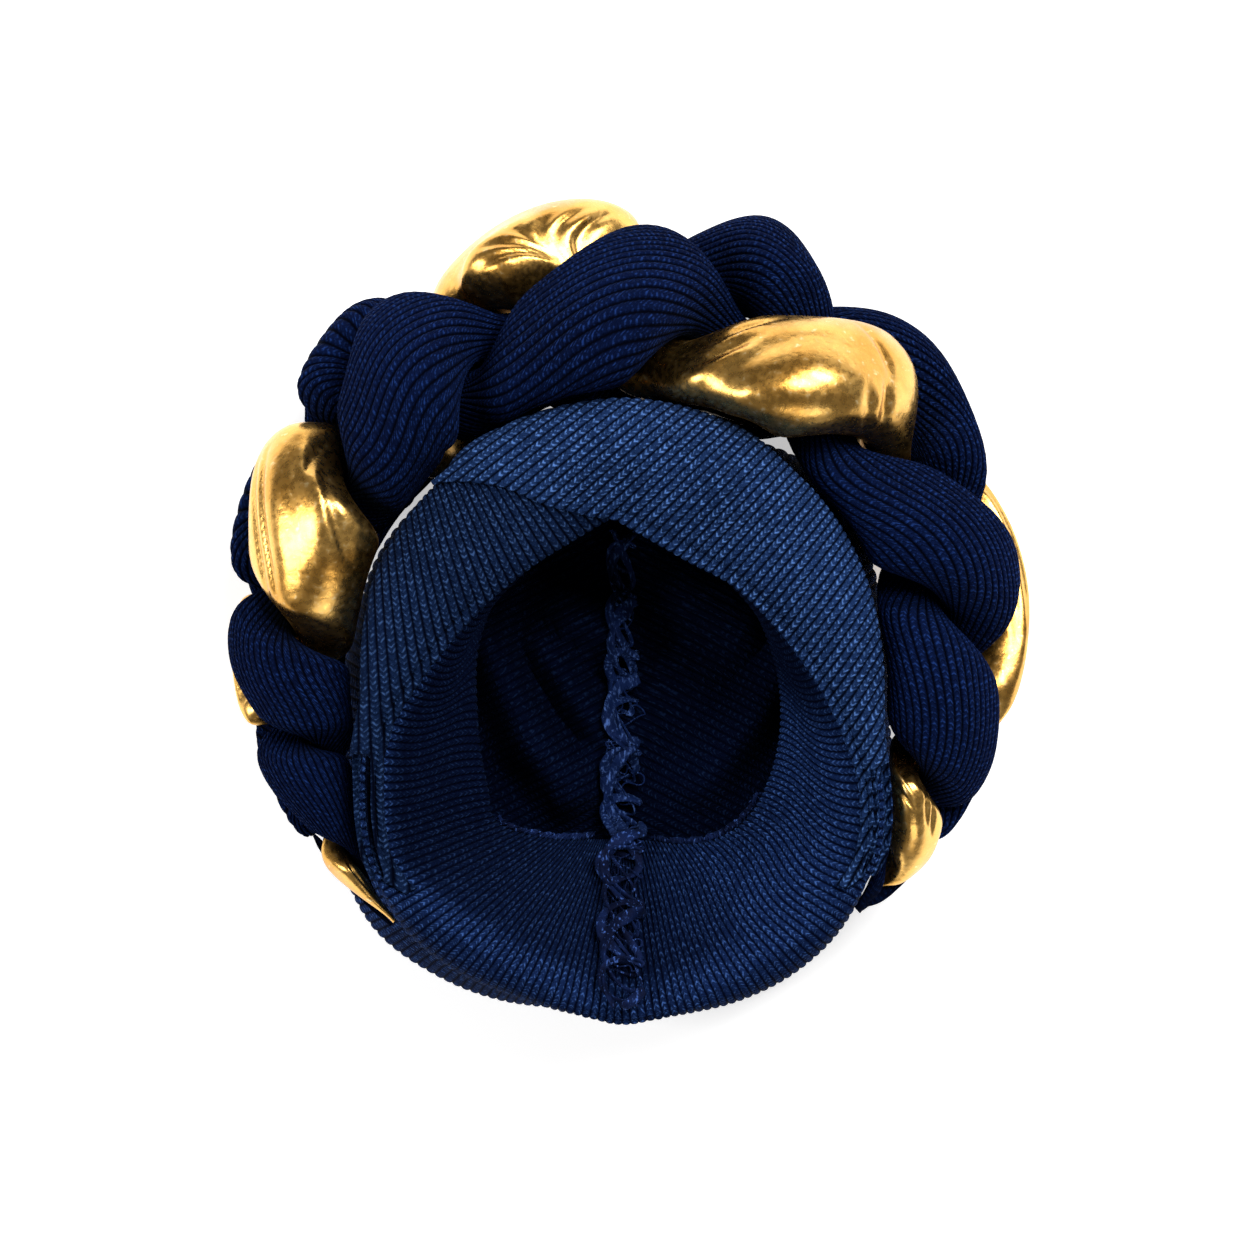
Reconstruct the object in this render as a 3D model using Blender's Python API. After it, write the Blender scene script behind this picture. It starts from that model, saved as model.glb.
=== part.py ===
"""Pre-tied turban headwrap: a ribbed-knit cap lying on its crown with the opening up, two
crossed front bands round the rim and a thick three-strand plait round the front and sides.
+Z is up, +Y is the forehead side, the origin lies on the floor under the opening's centre."""

import math

import bmesh
import bpy
import numpy as np
from mathutils import Vector
from mathutils.bvhtree import BVHTree

MM = 0.001

# Cloth thicknesses, the clearance kept between neighbouring pieces and how much more the
# bands stand off where they wrap the rim, in millimetres.
CAP_CLOTH = 1.8
BAND_CLOTH = 2.4
CLEARANCE = 0.65
RIM_EASE = 0.6

# Heights of the cap, in millimetres.
BULGE_HEIGHT = 17.0
FRONT_RIM_HEIGHT = 86.0
NAPE_RIM_HEIGHT = 66.0
FRONT_CREST_LIFT = 4.0
FRONT_HEM_HEIGHT = 60.0
SIDE_HEM_HEIGHT = 40.0
NAPE_HEM_HEIGHT = 27.0

# Rows of the cap's profile run from 0 at the crown's middle to the hem's raw edge; these
# are the rows of the rim fold and of the neck, and how finely each row is shared out.
CAP_LAST_ROW = 13
RIM_SPAN = 10.2
NECK_SPAN = 6.0
ROWS_PER_SPAN = 44.0 / CAP_LAST_ROW

# How far the cap's own rim keeps back from and below the front bands' edge.
RIM_SETBACK = 4.4
RIM_SINK = 3.0

# Rows every 15 degrees round the opening, 0 at the right side and 90 at the forehead:
# rim fold, neck of the side wall, bulge near the floor, raw edge of the turned-in hem.
STATION_STEP = 15.0
CAP_STATIONS = (
    (77.9, 82.0, 89.0, 48.0),
    (74.5, 84.0, 88.0, 54.0),
    (72.8, 93.5, 97.0, 61.0),
    (73.3, 105.0, 108.0, 69.0),
    (76.0, 114.5, 117.0, 78.0),
    (80.6, 120.0, 122.5, 87.0),
    (84.5, 122.0, 124.5, 95.0),
    (80.8, 120.0, 123.0, 87.0),
    (76.6, 115.0, 118.0, 78.5),
    (74.4, 107.0, 110.0, 67.5),
    (74.8, 95.5, 100.0, 56.0),
    (78.0, 86.5, 97.0, 49.0),
    (78.3, 82.5, 99.0, 45.0),
    (78.6, 83.0, 97.5, 44.0),
    (75.5, 82.5, 90.0, 34.0),
    (70.3, 78.5, 82.5, 26.0),
    (68.3, 74.5, 77.5, 21.0),
    (70.2, 73.5, 75.0, 19.0),
    (73.8, 73.2, 73.0, 18.0),
    (71.2, 74.5, 76.0, 19.0),
    (70.3, 78.0, 80.5, 22.0),
    (72.8, 81.5, 84.0, 28.0),
    (78.3, 83.5, 87.0, 36.0),
    (79.5, 82.5, 88.0, 43.0),
)
# The two bands meet over the forehead in a point standing this far past the round rim.
ARCH_POINT = 6.5
ARCH_SPREAD = 7.0

# Folds of slack cloth standing on the crown: both ends, height and half width.
CROWN_FOLDS = (
    (-46.0, 49.0, -30.0, 13.0, 23.0, 8.5),
    (-30.0, 13.0, -17.0, -3.0, 20.0, 8.0),
    (-17.0, -3.0, -6.0, 15.0, 16.0, 6.0),
    (-27.0, 46.0, -15.0, 29.0, 17.0, 7.5),
    (-15.0, 29.0, -1.0, 13.0, 15.0, 6.0),
    (-18.0, 56.0, -2.0, 52.0, 19.0, 10.0),
    (26.0, 0.0, 45.0, 23.0, 12.0, 8.0),
    (45.0, 23.0, 55.0, 43.0, 14.0, 8.0),
    (22.0, 66.0, 40.0, 52.0, 15.0, 9.0),
)

# Below this height a fold is pressed flat on the floor, so the crown rests on a flat middle.
FOLD_ONSET = 1.5

# Front bands: angle round the opening, inner edge and outer edge as shares of the way
# from the rim fold (0) over the shoulder to the neck of the side wall (1).
RIGHT_BAND = (
    (-24.0, 0.00, 0.40),
    (-10.0, 0.00, 0.72),
    (8.0, 0.00, 0.84),
    (30.0, 0.00, 0.90),
    (55.0, 0.00, 0.92),
    (80.0, 0.00, 0.92),
    (89.0, 0.02, 0.92),
    (101.0, 0.26, 0.92),
    (112.0, 0.55, 0.92),
    (121.0, 0.76, 0.92),
)
LEFT_BAND = (
    (78.0, 0.04, 0.90),
    (90.0, 0.02, 0.90),
    (112.0, 0.00, 0.90),
    (135.0, 0.00, 0.86),
    (150.0, 0.00, 0.72),
    (165.0, 0.00, 0.62),
    (180.0, 0.00, 0.58),
    (195.0, 0.00, 0.50),
    (206.0, 0.00, 0.36),
)
# The right band lies over the left one here, in degrees round the opening.
LAP_START = 60.0
LAP_FULL = 74.0

# Plait: angle round its own centre, inner and outer edge of its outline, height of its middle.
PLAIT_CENTRE_Y = 49.0
PLAIT_ROWS = (
    (-49.0, 116.0, 120.5, 46.0),
    (-43.0, 109.0, 124.0, 46.0),
    (-36.0, 101.5, 125.0, 46.0),
    (-28.0, 94.5, 126.0, 45.0),
    (-18.0, 89.5, 129.0, 43.0),
    (0.0, 86.0, 133.5, 42.5),
    (30.0, 81.0, 138.5, 42.5),
    (60.0, 77.0, 142.5, 42.5),
    (75.0, 76.0, 145.5, 42.5),
    (90.0, 75.5, 144.5, 42.5),
    (120.0, 77.5, 142.5, 42.5),
    (150.0, 84.0, 138.0, 42.5),
    (165.0, 88.0, 134.5, 42.5),
    (180.0, 91.0, 131.0, 43.0),
    (200.0, 93.0, 127.5, 44.0),
    (215.0, 104.0, 125.0, 46.0),
    (224.0, 111.5, 122.5, 48.0),
    (231.0, 117.5, 121.5, 49.0),
)
# Form of the plait: angle, tilt of its face, share of the full lift, share of the full depth,
# and the angle by which its outer edge runs ahead of its inner edge.
PLAIT_FORM = (
    (-49.0, 76.0, 1.00, 1.00, 12.0),
    (-42.0, 78.0, 0.60, 1.35, 12.0),
    (-23.0, 80.0, 0.40, 1.60, 14.0),
    (10.0, 70.0, 0.60, 1.40, 14.0),
    (35.0, 60.0, 0.90, 1.12, 13.0),
    (68.0, 60.0, 0.90, 1.08, 0.0),
    (90.0, 60.0, 0.90, 1.08, -10.0),
    (107.0, 61.0, 0.90, 1.10, -17.0),
    (127.0, 62.0, 0.88, 1.20, -13.0),
    (150.0, 70.0, 0.55, 1.36, -17.0),
    (181.0, 80.0, 0.45, 1.45, -20.0),
    (218.0, 80.0, 0.50, 1.40, -20.0),
    (231.0, 76.0, 1.00, 1.00, -20.0),
)
# Angle of each leaf of the plait that crosses to the inner edge, strands taken in turn.
LEAF_ANGLES = (-37.0, -21.0, 13.0, 49.0, 88.0, 127.0, 154.0, 182.0, 201.0, 221.0)
PLAIT_FULL_WIDTH = 72.0
PLAIT_INNER_REACH = 33.5
SWING = 17.5
LIFT = 12.5
STRAND_HALF_WIDTH = 31.0
STRAND_HALF_DEPTH = 23.0
LEAD_ONSET = 0.7
SECTION_POWER = 7.0
STRAND_GAP = 1.15
LEAST_ROOM = 0.2
PLAIT_CLEARANCE = -0.7

# Seams, in millimetres.
SEAM_START_Y = -70.0
SEAM_END_Y = 86.0
SEAM_THICKNESS = 2.6
SEAM_CLEARANCE = 0.8
SEAM_WAVES = 11
HEM_SEAM_RADIUS = 1.9
HEM_SEAM_WAVES = 6

# How finely each surface is divided.
CAP_SECTORS = 54
CAP_ROWS = (0.4, 3, 6, 9, 11, 13, 15, 17, 20, 23, 26, 28, 30, 32, 33, 34, 37, 41, 44)
BAND_STATIONS = 25
BAND_COLUMNS = 8
STRAND_SLICES = 72
STRAND_SIDES = 12
SEAM_STATIONS = 42
HEM_SEAM_STATIONS = 19
HEM_SEAM_SIDES = 5


def clear_scene():
    for item in list(bpy.data.objects):
        bpy.data.objects.remove(item, do_unlink=True)


def material(name, colour, roughness, metallic=0.0):
    made = bpy.data.materials.new(name)
    made.use_nodes = True
    shader = made.node_tree.nodes["Principled BSDF"]
    shader.inputs["Base Color"].default_value = (*colour, 1.0)
    shader.inputs["Roughness"].default_value = roughness
    shader.inputs["Metallic"].default_value = metallic
    return made


def curve_through(xs, ys, at):
    """Smooth curve through the points, without overshoot between them."""
    xs = np.asarray(xs, float)
    ys = np.asarray(ys, float)
    step = np.diff(xs)
    slope = np.diff(ys) / step
    tangent = np.zeros(len(xs))
    same = slope[:-1] * slope[1:] > 0
    weight_a = 2 * step[1:] + step[:-1]
    weight_b = step[1:] + 2 * step[:-1]
    safe_a = np.where(same, slope[:-1], 1.0)
    safe_b = np.where(same, slope[1:], 1.0)
    mean = (weight_a + weight_b) / (weight_a / safe_a + weight_b / safe_b)
    tangent[1:-1] = np.where(same, mean, 0.0)
    tangent[0] = slope[0]
    tangent[-1] = slope[-1]
    at = np.clip(np.asarray(at, float), xs[0], xs[-1])
    k = np.clip(np.searchsorted(xs, at, side="right") - 1, 0, len(xs) - 2)
    t = (at - xs[k]) / step[k]
    value = (2 * t**3 - 3 * t**2 + 1) * ys[k] + (t**3 - 2 * t**2 + t) * step[k] * tangent[k]
    return value + (3 * t**2 - 2 * t**3) * ys[k + 1] + (t**3 - t**2) * step[k] * tangent[k + 1]


def spline(points, at):
    """Points of a smooth curve through the rows of points, at row numbers that may be fractions."""
    last = len(points) - 1
    k = np.clip(np.floor(at).astype(int), 0, last - 1)
    t = (at - k)[:, None, None]
    p0 = points[np.clip(k - 1, 0, last)]
    p1 = points[k]
    p2 = points[k + 1]
    p3 = points[np.clip(k + 2, 0, last)]
    m1 = (p2 - p0) / 2
    m2 = (p3 - p1) / 2
    value = (2 * t**3 - 3 * t**2 + 1) * p1 + (t**3 - 2 * t**2 + t) * m1
    return value + (3 * t**2 - 2 * t**3) * p2 + (t**3 - t**2) * m2


def round_table(column, degrees):
    """One column of the cap's stations, smooth and closed round the opening."""
    values = np.array([row[column] for row in CAP_STATIONS])
    at = (np.asarray(degrees, float) % 360.0) / STATION_STEP
    k = np.floor(at).astype(int)
    t = at - k
    count = len(values)
    p0, p1, p2, p3 = (values[(k + shift) % count] for shift in (-1, 0, 1, 2))
    m1 = (p2 - p0) / 2
    m2 = (p3 - p1) / 2
    value = (2 * t**3 - 3 * t**2 + 1) * p1 + (t**3 - 2 * t**2 + t) * m1
    return value + (3 * t**2 - 2 * t**3) * p2 + (t**3 - t**2) * m2


def smooth_step(low, high, value):
    t = np.clip((value - low) / (high - low), 0.0, 1.0)
    return t * t * (3 - 2 * t)


def frontness(degrees):
    """1 at the forehead, 0 at the nape."""
    return 0.5 + 0.5 * np.sin(np.radians(degrees))


def under_band(degrees):
    """1 where a front band covers the cap's rim, 0 round the nape."""
    turned = (np.asarray(degrees, float) + 90.0) % 360.0
    return smooth_step(58.0, 78.0, turned) * (1 - smooth_step(288.0, 306.0, turned))


def rim_radius(degrees):
    from_front = np.abs((np.asarray(degrees, float) - 90.0 + 180.0) % 360.0 - 180.0)
    return round_table(0, degrees) + ARCH_POINT * np.exp(-from_front / ARCH_SPREAD)


def fold_height(x, y):
    """Height of the slack folds over the crown at a place in plan."""
    total = np.zeros_like(x)
    for x0, y0, x1, y1, height, width in CROWN_FOLDS:
        run_x = x1 - x0
        run_y = y1 - y0
        along = ((x - x0) * run_x + (y - y0) * run_y) / (run_x**2 + run_y**2)
        along = np.clip(along, 0.0, 1.0)
        away = np.hypot(x - x0 - along * run_x, y - y0 - along * run_y)
        ridge = height * np.exp(-((away / width) ** 2))
        total = np.maximum(total, ridge) + 0.15 * np.minimum(total, ridge)
    return np.maximum(total - FOLD_ONSET, 0.0)


def cap_profile(degrees):
    """Control points (radius, height) of the cap's middle surface from crown to raw edge."""
    degrees = np.asarray(degrees, float)
    front = frontness(degrees)
    covered = under_band(degrees)
    rim = rim_radius(degrees) + RIM_SETBACK * covered
    rim_z = NAPE_RIM_HEIGHT + (FRONT_RIM_HEIGHT - NAPE_RIM_HEIGHT) * front - RIM_SINK * covered
    neck = round_table(1, degrees)
    bulge = round_table(2, degrees)
    hem = round_table(3, degrees)
    room = np.maximum(neck - rim, 0.0)
    crest_z = rim_z + FRONT_CREST_LIFT * smooth_step(4.0, 30.0, room)
    hem_z = curve_through(
        (0.0, 0.5, 1.0), (NAPE_HEM_HEIGHT, SIDE_HEM_HEIGHT, FRONT_HEM_HEIGHT), front
    )
    floor = np.full_like(rim, CAP_CLOTH / 2)
    neck_z = 0.60 * rim_z
    shoulder = rim + room * 0.90
    rows = (
        (0.0 * bulge, floor),
        (0.34 * bulge, floor),
        (0.62 * bulge, floor),
        (0.84 * bulge, floor + 0.4),
        (0.97 * bulge, floor + 5.0),
        (bulge, floor + BULGE_HEIGHT),
        (neck, neck_z),
        (shoulder + 0.8, 0.25 * neck_z + 0.75 * crest_z),
        (rim + room * 0.55 + 1.0, crest_z),
        (rim + room * 0.18 + 1.4, 0.35 * crest_z + 0.65 * rim_z + 1.0),
        (rim - 1.6, rim_z - 2.6),
        (0.70 * rim + 0.30 * hem - 4.0, 0.72 * rim_z + 0.28 * hem_z - 3.0),
        (0.35 * rim + 0.65 * hem - 2.0, 0.35 * rim_z + 0.65 * hem_z - 2.5),
        (hem, hem_z),
    )
    return np.stack([np.stack([r, z], axis=-1) for r, z in rows])


def cap_surface(degrees, spans):
    """Middle surface of the cap: one row of points for each span number, one for each angle."""
    profile = spline(cap_profile(degrees), np.asarray(spans, float))
    angle = np.radians(degrees)[None, :]
    x = profile[..., 0] * np.cos(angle)
    y = profile[..., 0] * np.sin(angle)
    crown = 1 - smooth_step(2.4, 3.6, np.asarray(spans, float))[:, None]
    z = profile[..., 1] + fold_height(x, y) * crown
    return np.stack([x, y, z], axis=-1)


def unit(vectors):
    return vectors / np.maximum(np.linalg.norm(vectors, axis=-1, keepdims=True), 1e-9)


def cap_normals(degrees, spans):
    """Normals of the middle surface, pointing out of the cap's outer face."""
    degrees = np.asarray(degrees, float)
    spans = np.asarray(spans, float)
    step_s = 0.02
    step_u = 0.2
    below = np.clip(spans - step_s, 0.0, CAP_LAST_ROW)
    above = np.clip(spans + step_s, 0.0, CAP_LAST_ROW)
    along = cap_surface(degrees, above) - cap_surface(degrees, below)
    round_it = cap_surface(degrees + step_u, spans) - cap_surface(degrees - step_u, spans)
    return unit(np.cross(round_it, along))


def make_object(name, points, faces, look):
    mesh = bpy.data.meshes.new(name)
    mesh.from_pydata([tuple(point) for point in np.asarray(points) * MM], [], faces)
    mesh.materials.append(look)
    shell = bmesh.new()
    shell.from_mesh(mesh)
    bmesh.ops.recalc_face_normals(shell, faces=shell.faces)
    shell.to_mesh(mesh)
    shell.free()
    made = bpy.data.objects.new(name, mesh)
    bpy.context.collection.objects.link(made)
    return made


def ring_faces(rings, count):
    """Quads joining closed rings of points, one ring after another."""
    faces = []
    for ring in range(rings - 1):
        for i in range(count):
            a = ring * count + i
            b = ring * count + (i + 1) % count
            faces.append((a, b, b + count, a + count))
    return faces


def tube_object(name, rings, look):
    """A closed tube through rings of points, its ends fanned to their middles."""
    count = len(rings[0])
    points = np.vstack([*rings, rings[0].mean(axis=0), rings[-1].mean(axis=0)])
    faces = ring_faces(len(rings), count)
    end = (len(rings) - 1) * count
    for i in range(count):
        j = (i + 1) % count
        faces.append((len(points) - 2, j, i))
        faces.append((len(points) - 1, end + i, end + j))
    return make_object(name, points, faces, look)


def strip_object(name, rings, look):
    """A closed strip through rings of points, upper side then lower side, with flat ends."""
    count = len(rings[0])
    faces = ring_faces(len(rings), count)
    for column in range(count // 2 - 1):
        near = (column, column + 1, count - 2 - column, count - 1 - column)
        far = tuple(index + (len(rings) - 1) * count for index in near)
        faces.append(near[::-1])
        faces.append(far)
    return make_object(name, np.vstack(rings), faces, look)


def build_cap(look):
    """Crown, side wall, rim fold and turned-in hem as one sheet with its thickness."""
    spans = np.array(CAP_ROWS) / ROWS_PER_SPAN
    degrees = np.arange(CAP_SECTORS) * 360.0 / CAP_SECTORS
    middle = cap_surface(degrees, spans)
    normal = cap_normals(degrees, spans)
    outer = middle + normal * CAP_CLOTH / 2
    inner = middle - normal * CAP_CLOTH / 2
    flat = CAP_CLOTH / 2
    outer[..., 2] = np.maximum(outer[..., 2], 0.0)
    rows = np.concatenate([outer, inner[::-1]]).reshape(-1, 3)
    rings = 2 * len(spans)
    pole = cap_surface(degrees[:1], np.array([0.0]))[0, 0]
    points = np.vstack([rows, pole - (0, 0, flat), pole + (0, 0, flat)])
    faces = ring_faces(rings, CAP_SECTORS)
    last = (rings - 1) * CAP_SECTORS
    for i in range(CAP_SECTORS):
        j = (i + 1) % CAP_SECTORS
        faces.append((len(points) - 2, j, i))
        faces.append((len(points) - 1, last + i, last + j))
    return make_object("cap", points, faces, look)


def band_layer(degrees, shares, height):
    """Points over the cap's outer face: share 0 at the rim fold, 1 at the neck."""
    spans = RIM_SPAN + (NECK_SPAN - RIM_SPAN) * shares
    points = np.empty((len(degrees), shares.shape[1], 3))
    for i, angle in enumerate(degrees):
        at = np.array([angle])
        middle = cap_surface(at, spans[i])[:, 0]
        normal = cap_normals(at, spans[i])[:, 0]
        points[i] = middle + normal * height[i][:, None]
    return points


def build_band(name, table, laps_over, look):
    """A band of doubled knit lying over the rim, thinner at its folded edges."""
    rows = np.array(table)
    degrees = np.linspace(rows[0, 0], rows[-1, 0], BAND_STATIONS)
    inner_edge = curve_through(rows[:, 0], rows[:, 1], degrees)
    outer_edge = curve_through(rows[:, 0], rows[:, 2], degrees)
    across = np.linspace(0.0, 1.0, BAND_COLUMNS)
    shares = inner_edge[:, None] + (outer_edge - inner_edge)[:, None] * across[None, :]
    rise = CAP_CLOTH / 2 + CLEARANCE
    lap = smooth_step(LAP_START, LAP_FULL, degrees) if laps_over else np.zeros(BAND_STATIONS)
    base = rise + lap * (BAND_CLOTH + CLEARANCE)
    puff = np.sin(np.pi * across) ** 0.5
    low = base[:, None] + RIM_EASE * (1 - shares) ** 6
    high = low + BAND_CLOTH * (0.35 + 0.65 * puff[None, :])
    under = band_layer(degrees, shares, low)
    over = band_layer(degrees, shares, high)
    loop = np.concatenate([over, under[:, ::-1]], axis=1)
    return strip_object(name, list(loop), look)


def outer_reach(x, y, z):
    """Radius of the cap with its bands round the opening, at each point's angle and height."""
    degrees = np.degrees(np.arctan2(y, x))
    profile = cap_profile(degrees)
    spans = np.linspace(3.0, 9.0, 31)
    line = spline(profile, spans)
    radius = line[..., 0]
    height = line[..., 1]
    inside = np.zeros_like(x)
    for k in range(len(spans) - 1):
        low = np.minimum(height[k], height[k + 1]) - 2.5
        high = np.maximum(height[k], height[k + 1]) + 2.5
        here = (z >= low) & (z <= high)
        reach = np.maximum(radius[k], radius[k + 1])
        inside = np.where(here, np.maximum(inside, reach), inside)
    banded = under_band(degrees) * smooth_step(30.0, 45.0, z)
    lapped = smooth_step(LAP_START, LAP_FULL, degrees) * (1 - smooth_step(123.0, 130.0, degrees))
    layers = banded * (1 + lapped * smooth_step(55.0, 62.0, z))
    return inside + CAP_CLOTH / 2 + CLEARANCE + layers * (BAND_CLOTH + CLEARANCE) + PLAIT_CLEARANCE


def plait_row(theta):
    rows = np.array(PLAIT_ROWS)
    inner = curve_through(rows[:, 0], rows[:, 1], theta)
    outer = curve_through(rows[:, 0], rows[:, 2], theta)
    height = curve_through(rows[:, 0], rows[:, 3], theta)
    size = (outer - inner) / PLAIT_FULL_WIDTH
    return inner + PLAIT_INNER_REACH * size, size, height


def plait_phase(theta):
    turns = 1.25 * math.pi + 2 * math.pi / 3 * np.arange(len(LEAF_ANGLES))
    first = LEAF_ANGLES[0] - (LEAF_ANGLES[1] - LEAF_ANGLES[0])
    last = 2 * LEAF_ANGLES[-1] - LEAF_ANGLES[-2]
    angles = (first, *LEAF_ANGLES, last)
    turns = np.concatenate([[turns[0] - 2 * math.pi / 3], turns, [turns[-1] + 2 * math.pi / 3]])
    return curve_through(angles, turns, theta)


def plait_form(theta):
    """Tilt, lift, depth and lead of the plait at an angle, as in its table of form."""
    rows = np.array(PLAIT_FORM)
    tilt, lift, depth, lead = (curve_through(rows[:, 0], rows[:, k], theta) for k in (1, 2, 3, 4))
    return math.radians(tilt), lift, depth, lead


def strand_centre(strand, theta):
    """Place of a strand's middle in the slice across the plait: along its width, off its face."""
    size = plait_row(theta)[1]
    lift = plait_form(theta)[1] * LIFT
    turn = plait_phase(theta) - 2 * math.pi / 3 * strand
    return np.array([SWING * size * math.sin(turn), lift * size * math.sin(2 * turn)])


def slice_to_space(theta, flat):
    """Points of the slice across the plait, given along its width and off its face."""
    middle, size, height = plait_row(theta)
    outer_share = np.maximum(flat[:, 0], 0.0) / (SWING * size)
    tilt, _, _, lead = plait_form(theta)
    angle = np.radians(theta + lead * outer_share**2 / (outer_share**2 + LEAD_ONSET))
    cos_tilt = math.cos(tilt)
    sin_tilt = math.sin(tilt)
    radius = middle + flat[:, 0] * cos_tilt + flat[:, 1] * sin_tilt
    z = height - flat[:, 0] * sin_tilt + flat[:, 1] * cos_tilt
    y = PLAIT_CENTRE_Y + radius * np.sin(angle)
    return np.stack([radius * np.cos(angle), y, z], axis=-1)


def free_length(theta, centre, direction, most):
    """How far a ray in the slice runs before it meets the cap, the bands or the floor."""
    shares = np.linspace(0.02, 1.0, 40)
    length = np.array(most)
    for i, ray in enumerate(direction):
        path = centre[None, :] + ray[None, :] * (shares * most[i])[:, None]
        x, y, z = slice_to_space(theta, path).T
        blocked = (np.hypot(x, y) < outer_reach(x, y, z)) | (z < 0.3)
        if blocked.any():
            length[i] = max(shares[np.argmax(blocked)] - shares[0], 0.05) * most[i]
    return length


def pressed_limit(strand, other, nearby, ray):
    """How far rays from a strand's middle run before its neighbour, at their shortest nearby."""
    limits = []
    for theta in nearby:
        away = strand_centre(other, theta) - strand_centre(strand, theta)
        apart = np.linalg.norm(away)
        facing = np.maximum(ray @ (away / apart), 1e-3)
        limits.append(max(apart - STRAND_GAP, LEAST_ROOM) / 2 / facing)
    return np.min(limits, axis=0)


def strand_section(strand, nearby):
    """Outline of one strand in a slice: an oval pressed flat where it meets its neighbours."""
    theta = nearby[1]
    size = plait_row(theta)[1]
    centre = strand_centre(strand, theta)
    turn = np.arange(STRAND_SIDES) * 2 * math.pi / STRAND_SIDES
    ray = np.stack([np.cos(turn), np.sin(turn)], axis=-1)
    wide = STRAND_HALF_WIDTH * size
    deep = plait_form(theta)[2] * STRAND_HALF_DEPTH * size
    oval = 1 / np.sqrt((ray[:, 0] / wide) ** 2 + (ray[:, 1] / deep) ** 2)
    inverse = oval**-SECTION_POWER
    for other in range(3):
        if other != strand:
            inverse = inverse + pressed_limit(strand, other, nearby, ray) ** -SECTION_POWER
    reach = inverse ** (-1 / SECTION_POWER)
    free = [free_length(at, strand_centre(strand, at), ray, reach) for at in nearby]
    return slice_to_space(theta, centre + ray * np.min(free, axis=0)[:, None])


def build_strand(name, strand, look):
    fine = np.linspace(PLAIT_ROWS[0][0], PLAIT_ROWS[-1][0], 600)
    phase = plait_phase(fine)
    halves = np.linspace(phase[0], phase[-1], 2 * STRAND_SLICES - 1)
    thetas = np.interp(halves, phase, fine)
    thetas = np.concatenate([thetas[:1], thetas, thetas[-1:]])
    rings = [strand_section(strand, thetas[2 * i : 2 * i + 3]) for i in range(STRAND_SLICES)]
    return tube_object(name, rings, look)


def top_of(tree, x, y, ceiling):
    """Highest cloth under a place in plan, looking down from the ceiling height."""
    best = 0.0
    reach = 2.6
    for dx in (-reach, 0.0, reach):
        for dy in (-reach, 0.0, reach):
            origin = Vector(((x + dx) * MM, (y + dy) * MM, ceiling * MM))
            hit = tree.ray_cast(origin, Vector((0, 0, -1)))[0]
            if hit is not None:
                best = max(best, hit.z / MM)
    return best


def build_back_seam(cap, look):
    """Ruffled ridge of overlocked seam allowance lying along the middle of the inside."""
    tree = BVHTree.FromPolygons(
        [vertex.co for vertex in cap.data.vertices],
        [tuple(polygon.vertices) for polygon in cap.data.polygons],
    )
    across = np.array([-1.0, -0.35, 0.35, 1.0])
    rings = []
    for share in np.linspace(0.0, 1.0, SEAM_STATIONS):
        y = SEAM_START_Y + (SEAM_END_Y - SEAM_START_Y) * share
        sway = 2.6 * math.sin(2 * math.pi * SEAM_WAVES * share)
        half = 6.5 - 2.0 * share
        ceiling = 100.0 if y < 55.0 else 46.0
        low = [top_of(tree, sway + a * half, y, ceiling) + SEAM_CLEARANCE for a in across]
        ruffle = 0.8 * math.cos(2 * math.pi * SEAM_WAVES * share)
        lower = [(sway + a * half, y, z) for a, z in zip(across, low)]
        thick = [SEAM_THICKNESS + ruffle * a + 1.2 * (1 - a * a) for a in across]
        upper = [(x, y, z + t) for (x, y, z), t in zip(lower, thick)]
        rings.append(np.array(upper + lower[::-1]))
    return strip_object("back_seam", rings, look)


def build_hem_seam(name, first, last, look):
    """Overlock stitching along the raw edge of the turned-in hem, as a wavering cord."""
    degrees = np.linspace(first, last, HEM_SEAM_STATIONS)
    spans = np.array([CAP_LAST_ROW - 0.15, CAP_LAST_ROW])
    edge = cap_surface(degrees, spans)
    onward = unit(edge[1] - edge[0])
    along = unit(np.gradient(edge[1], axis=0))
    upright = unit(np.cross(along, onward))
    wave = np.linspace(0.0, 2 * math.pi * HEM_SEAM_WAVES, HEM_SEAM_STATIONS)
    radius = HEM_SEAM_RADIUS * (1 + 0.15 * np.sin(wave))
    centre = edge[1] + onward * (radius + CLEARANCE + 0.2)[:, None]
    centre = centre + upright * (0.5 * np.cos(wave))[:, None]
    turn = np.arange(HEM_SEAM_SIDES) * 2 * math.pi / HEM_SEAM_SIDES
    rings = []
    for i in range(HEM_SEAM_STATIONS):
        spread = np.cos(turn)[:, None] * onward[i] + np.sin(turn)[:, None] * upright[i]
        rings.append(centre[i] + spread * radius[i])
    return tube_object(name, rings, look)


def build():
    clear_scene()
    knit = material("navy_rib_knit", (0.012, 0.030, 0.105), 0.85)
    band_knit = material("navy_band_knit", (0.018, 0.045, 0.150), 0.85)
    strand_knit = material("navy_strand_knit", (0.006, 0.016, 0.070), 0.85)
    foil = material("gold_foil", (0.72, 0.44, 0.12), 0.28, 1.0)
    thread = material("navy_thread", (0.014, 0.034, 0.130), 0.80)
    cap = build_cap(knit)
    build_band("front_wrap_right", RIGHT_BAND, True, band_knit)
    build_band("front_wrap_left", LEFT_BAND, False, band_knit)
    build_strand("braid_strand_gold", 0, foil)
    build_strand("braid_strand_navy_b", 1, strand_knit)
    build_strand("braid_strand_navy_a", 2, strand_knit)
    build_back_seam(cap, thread)
    build_hem_seam("hem_seam_left", 193.0, 240.0, thread)
    build_hem_seam("hem_seam_right", 300.0, 358.0, thread)


build()
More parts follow.
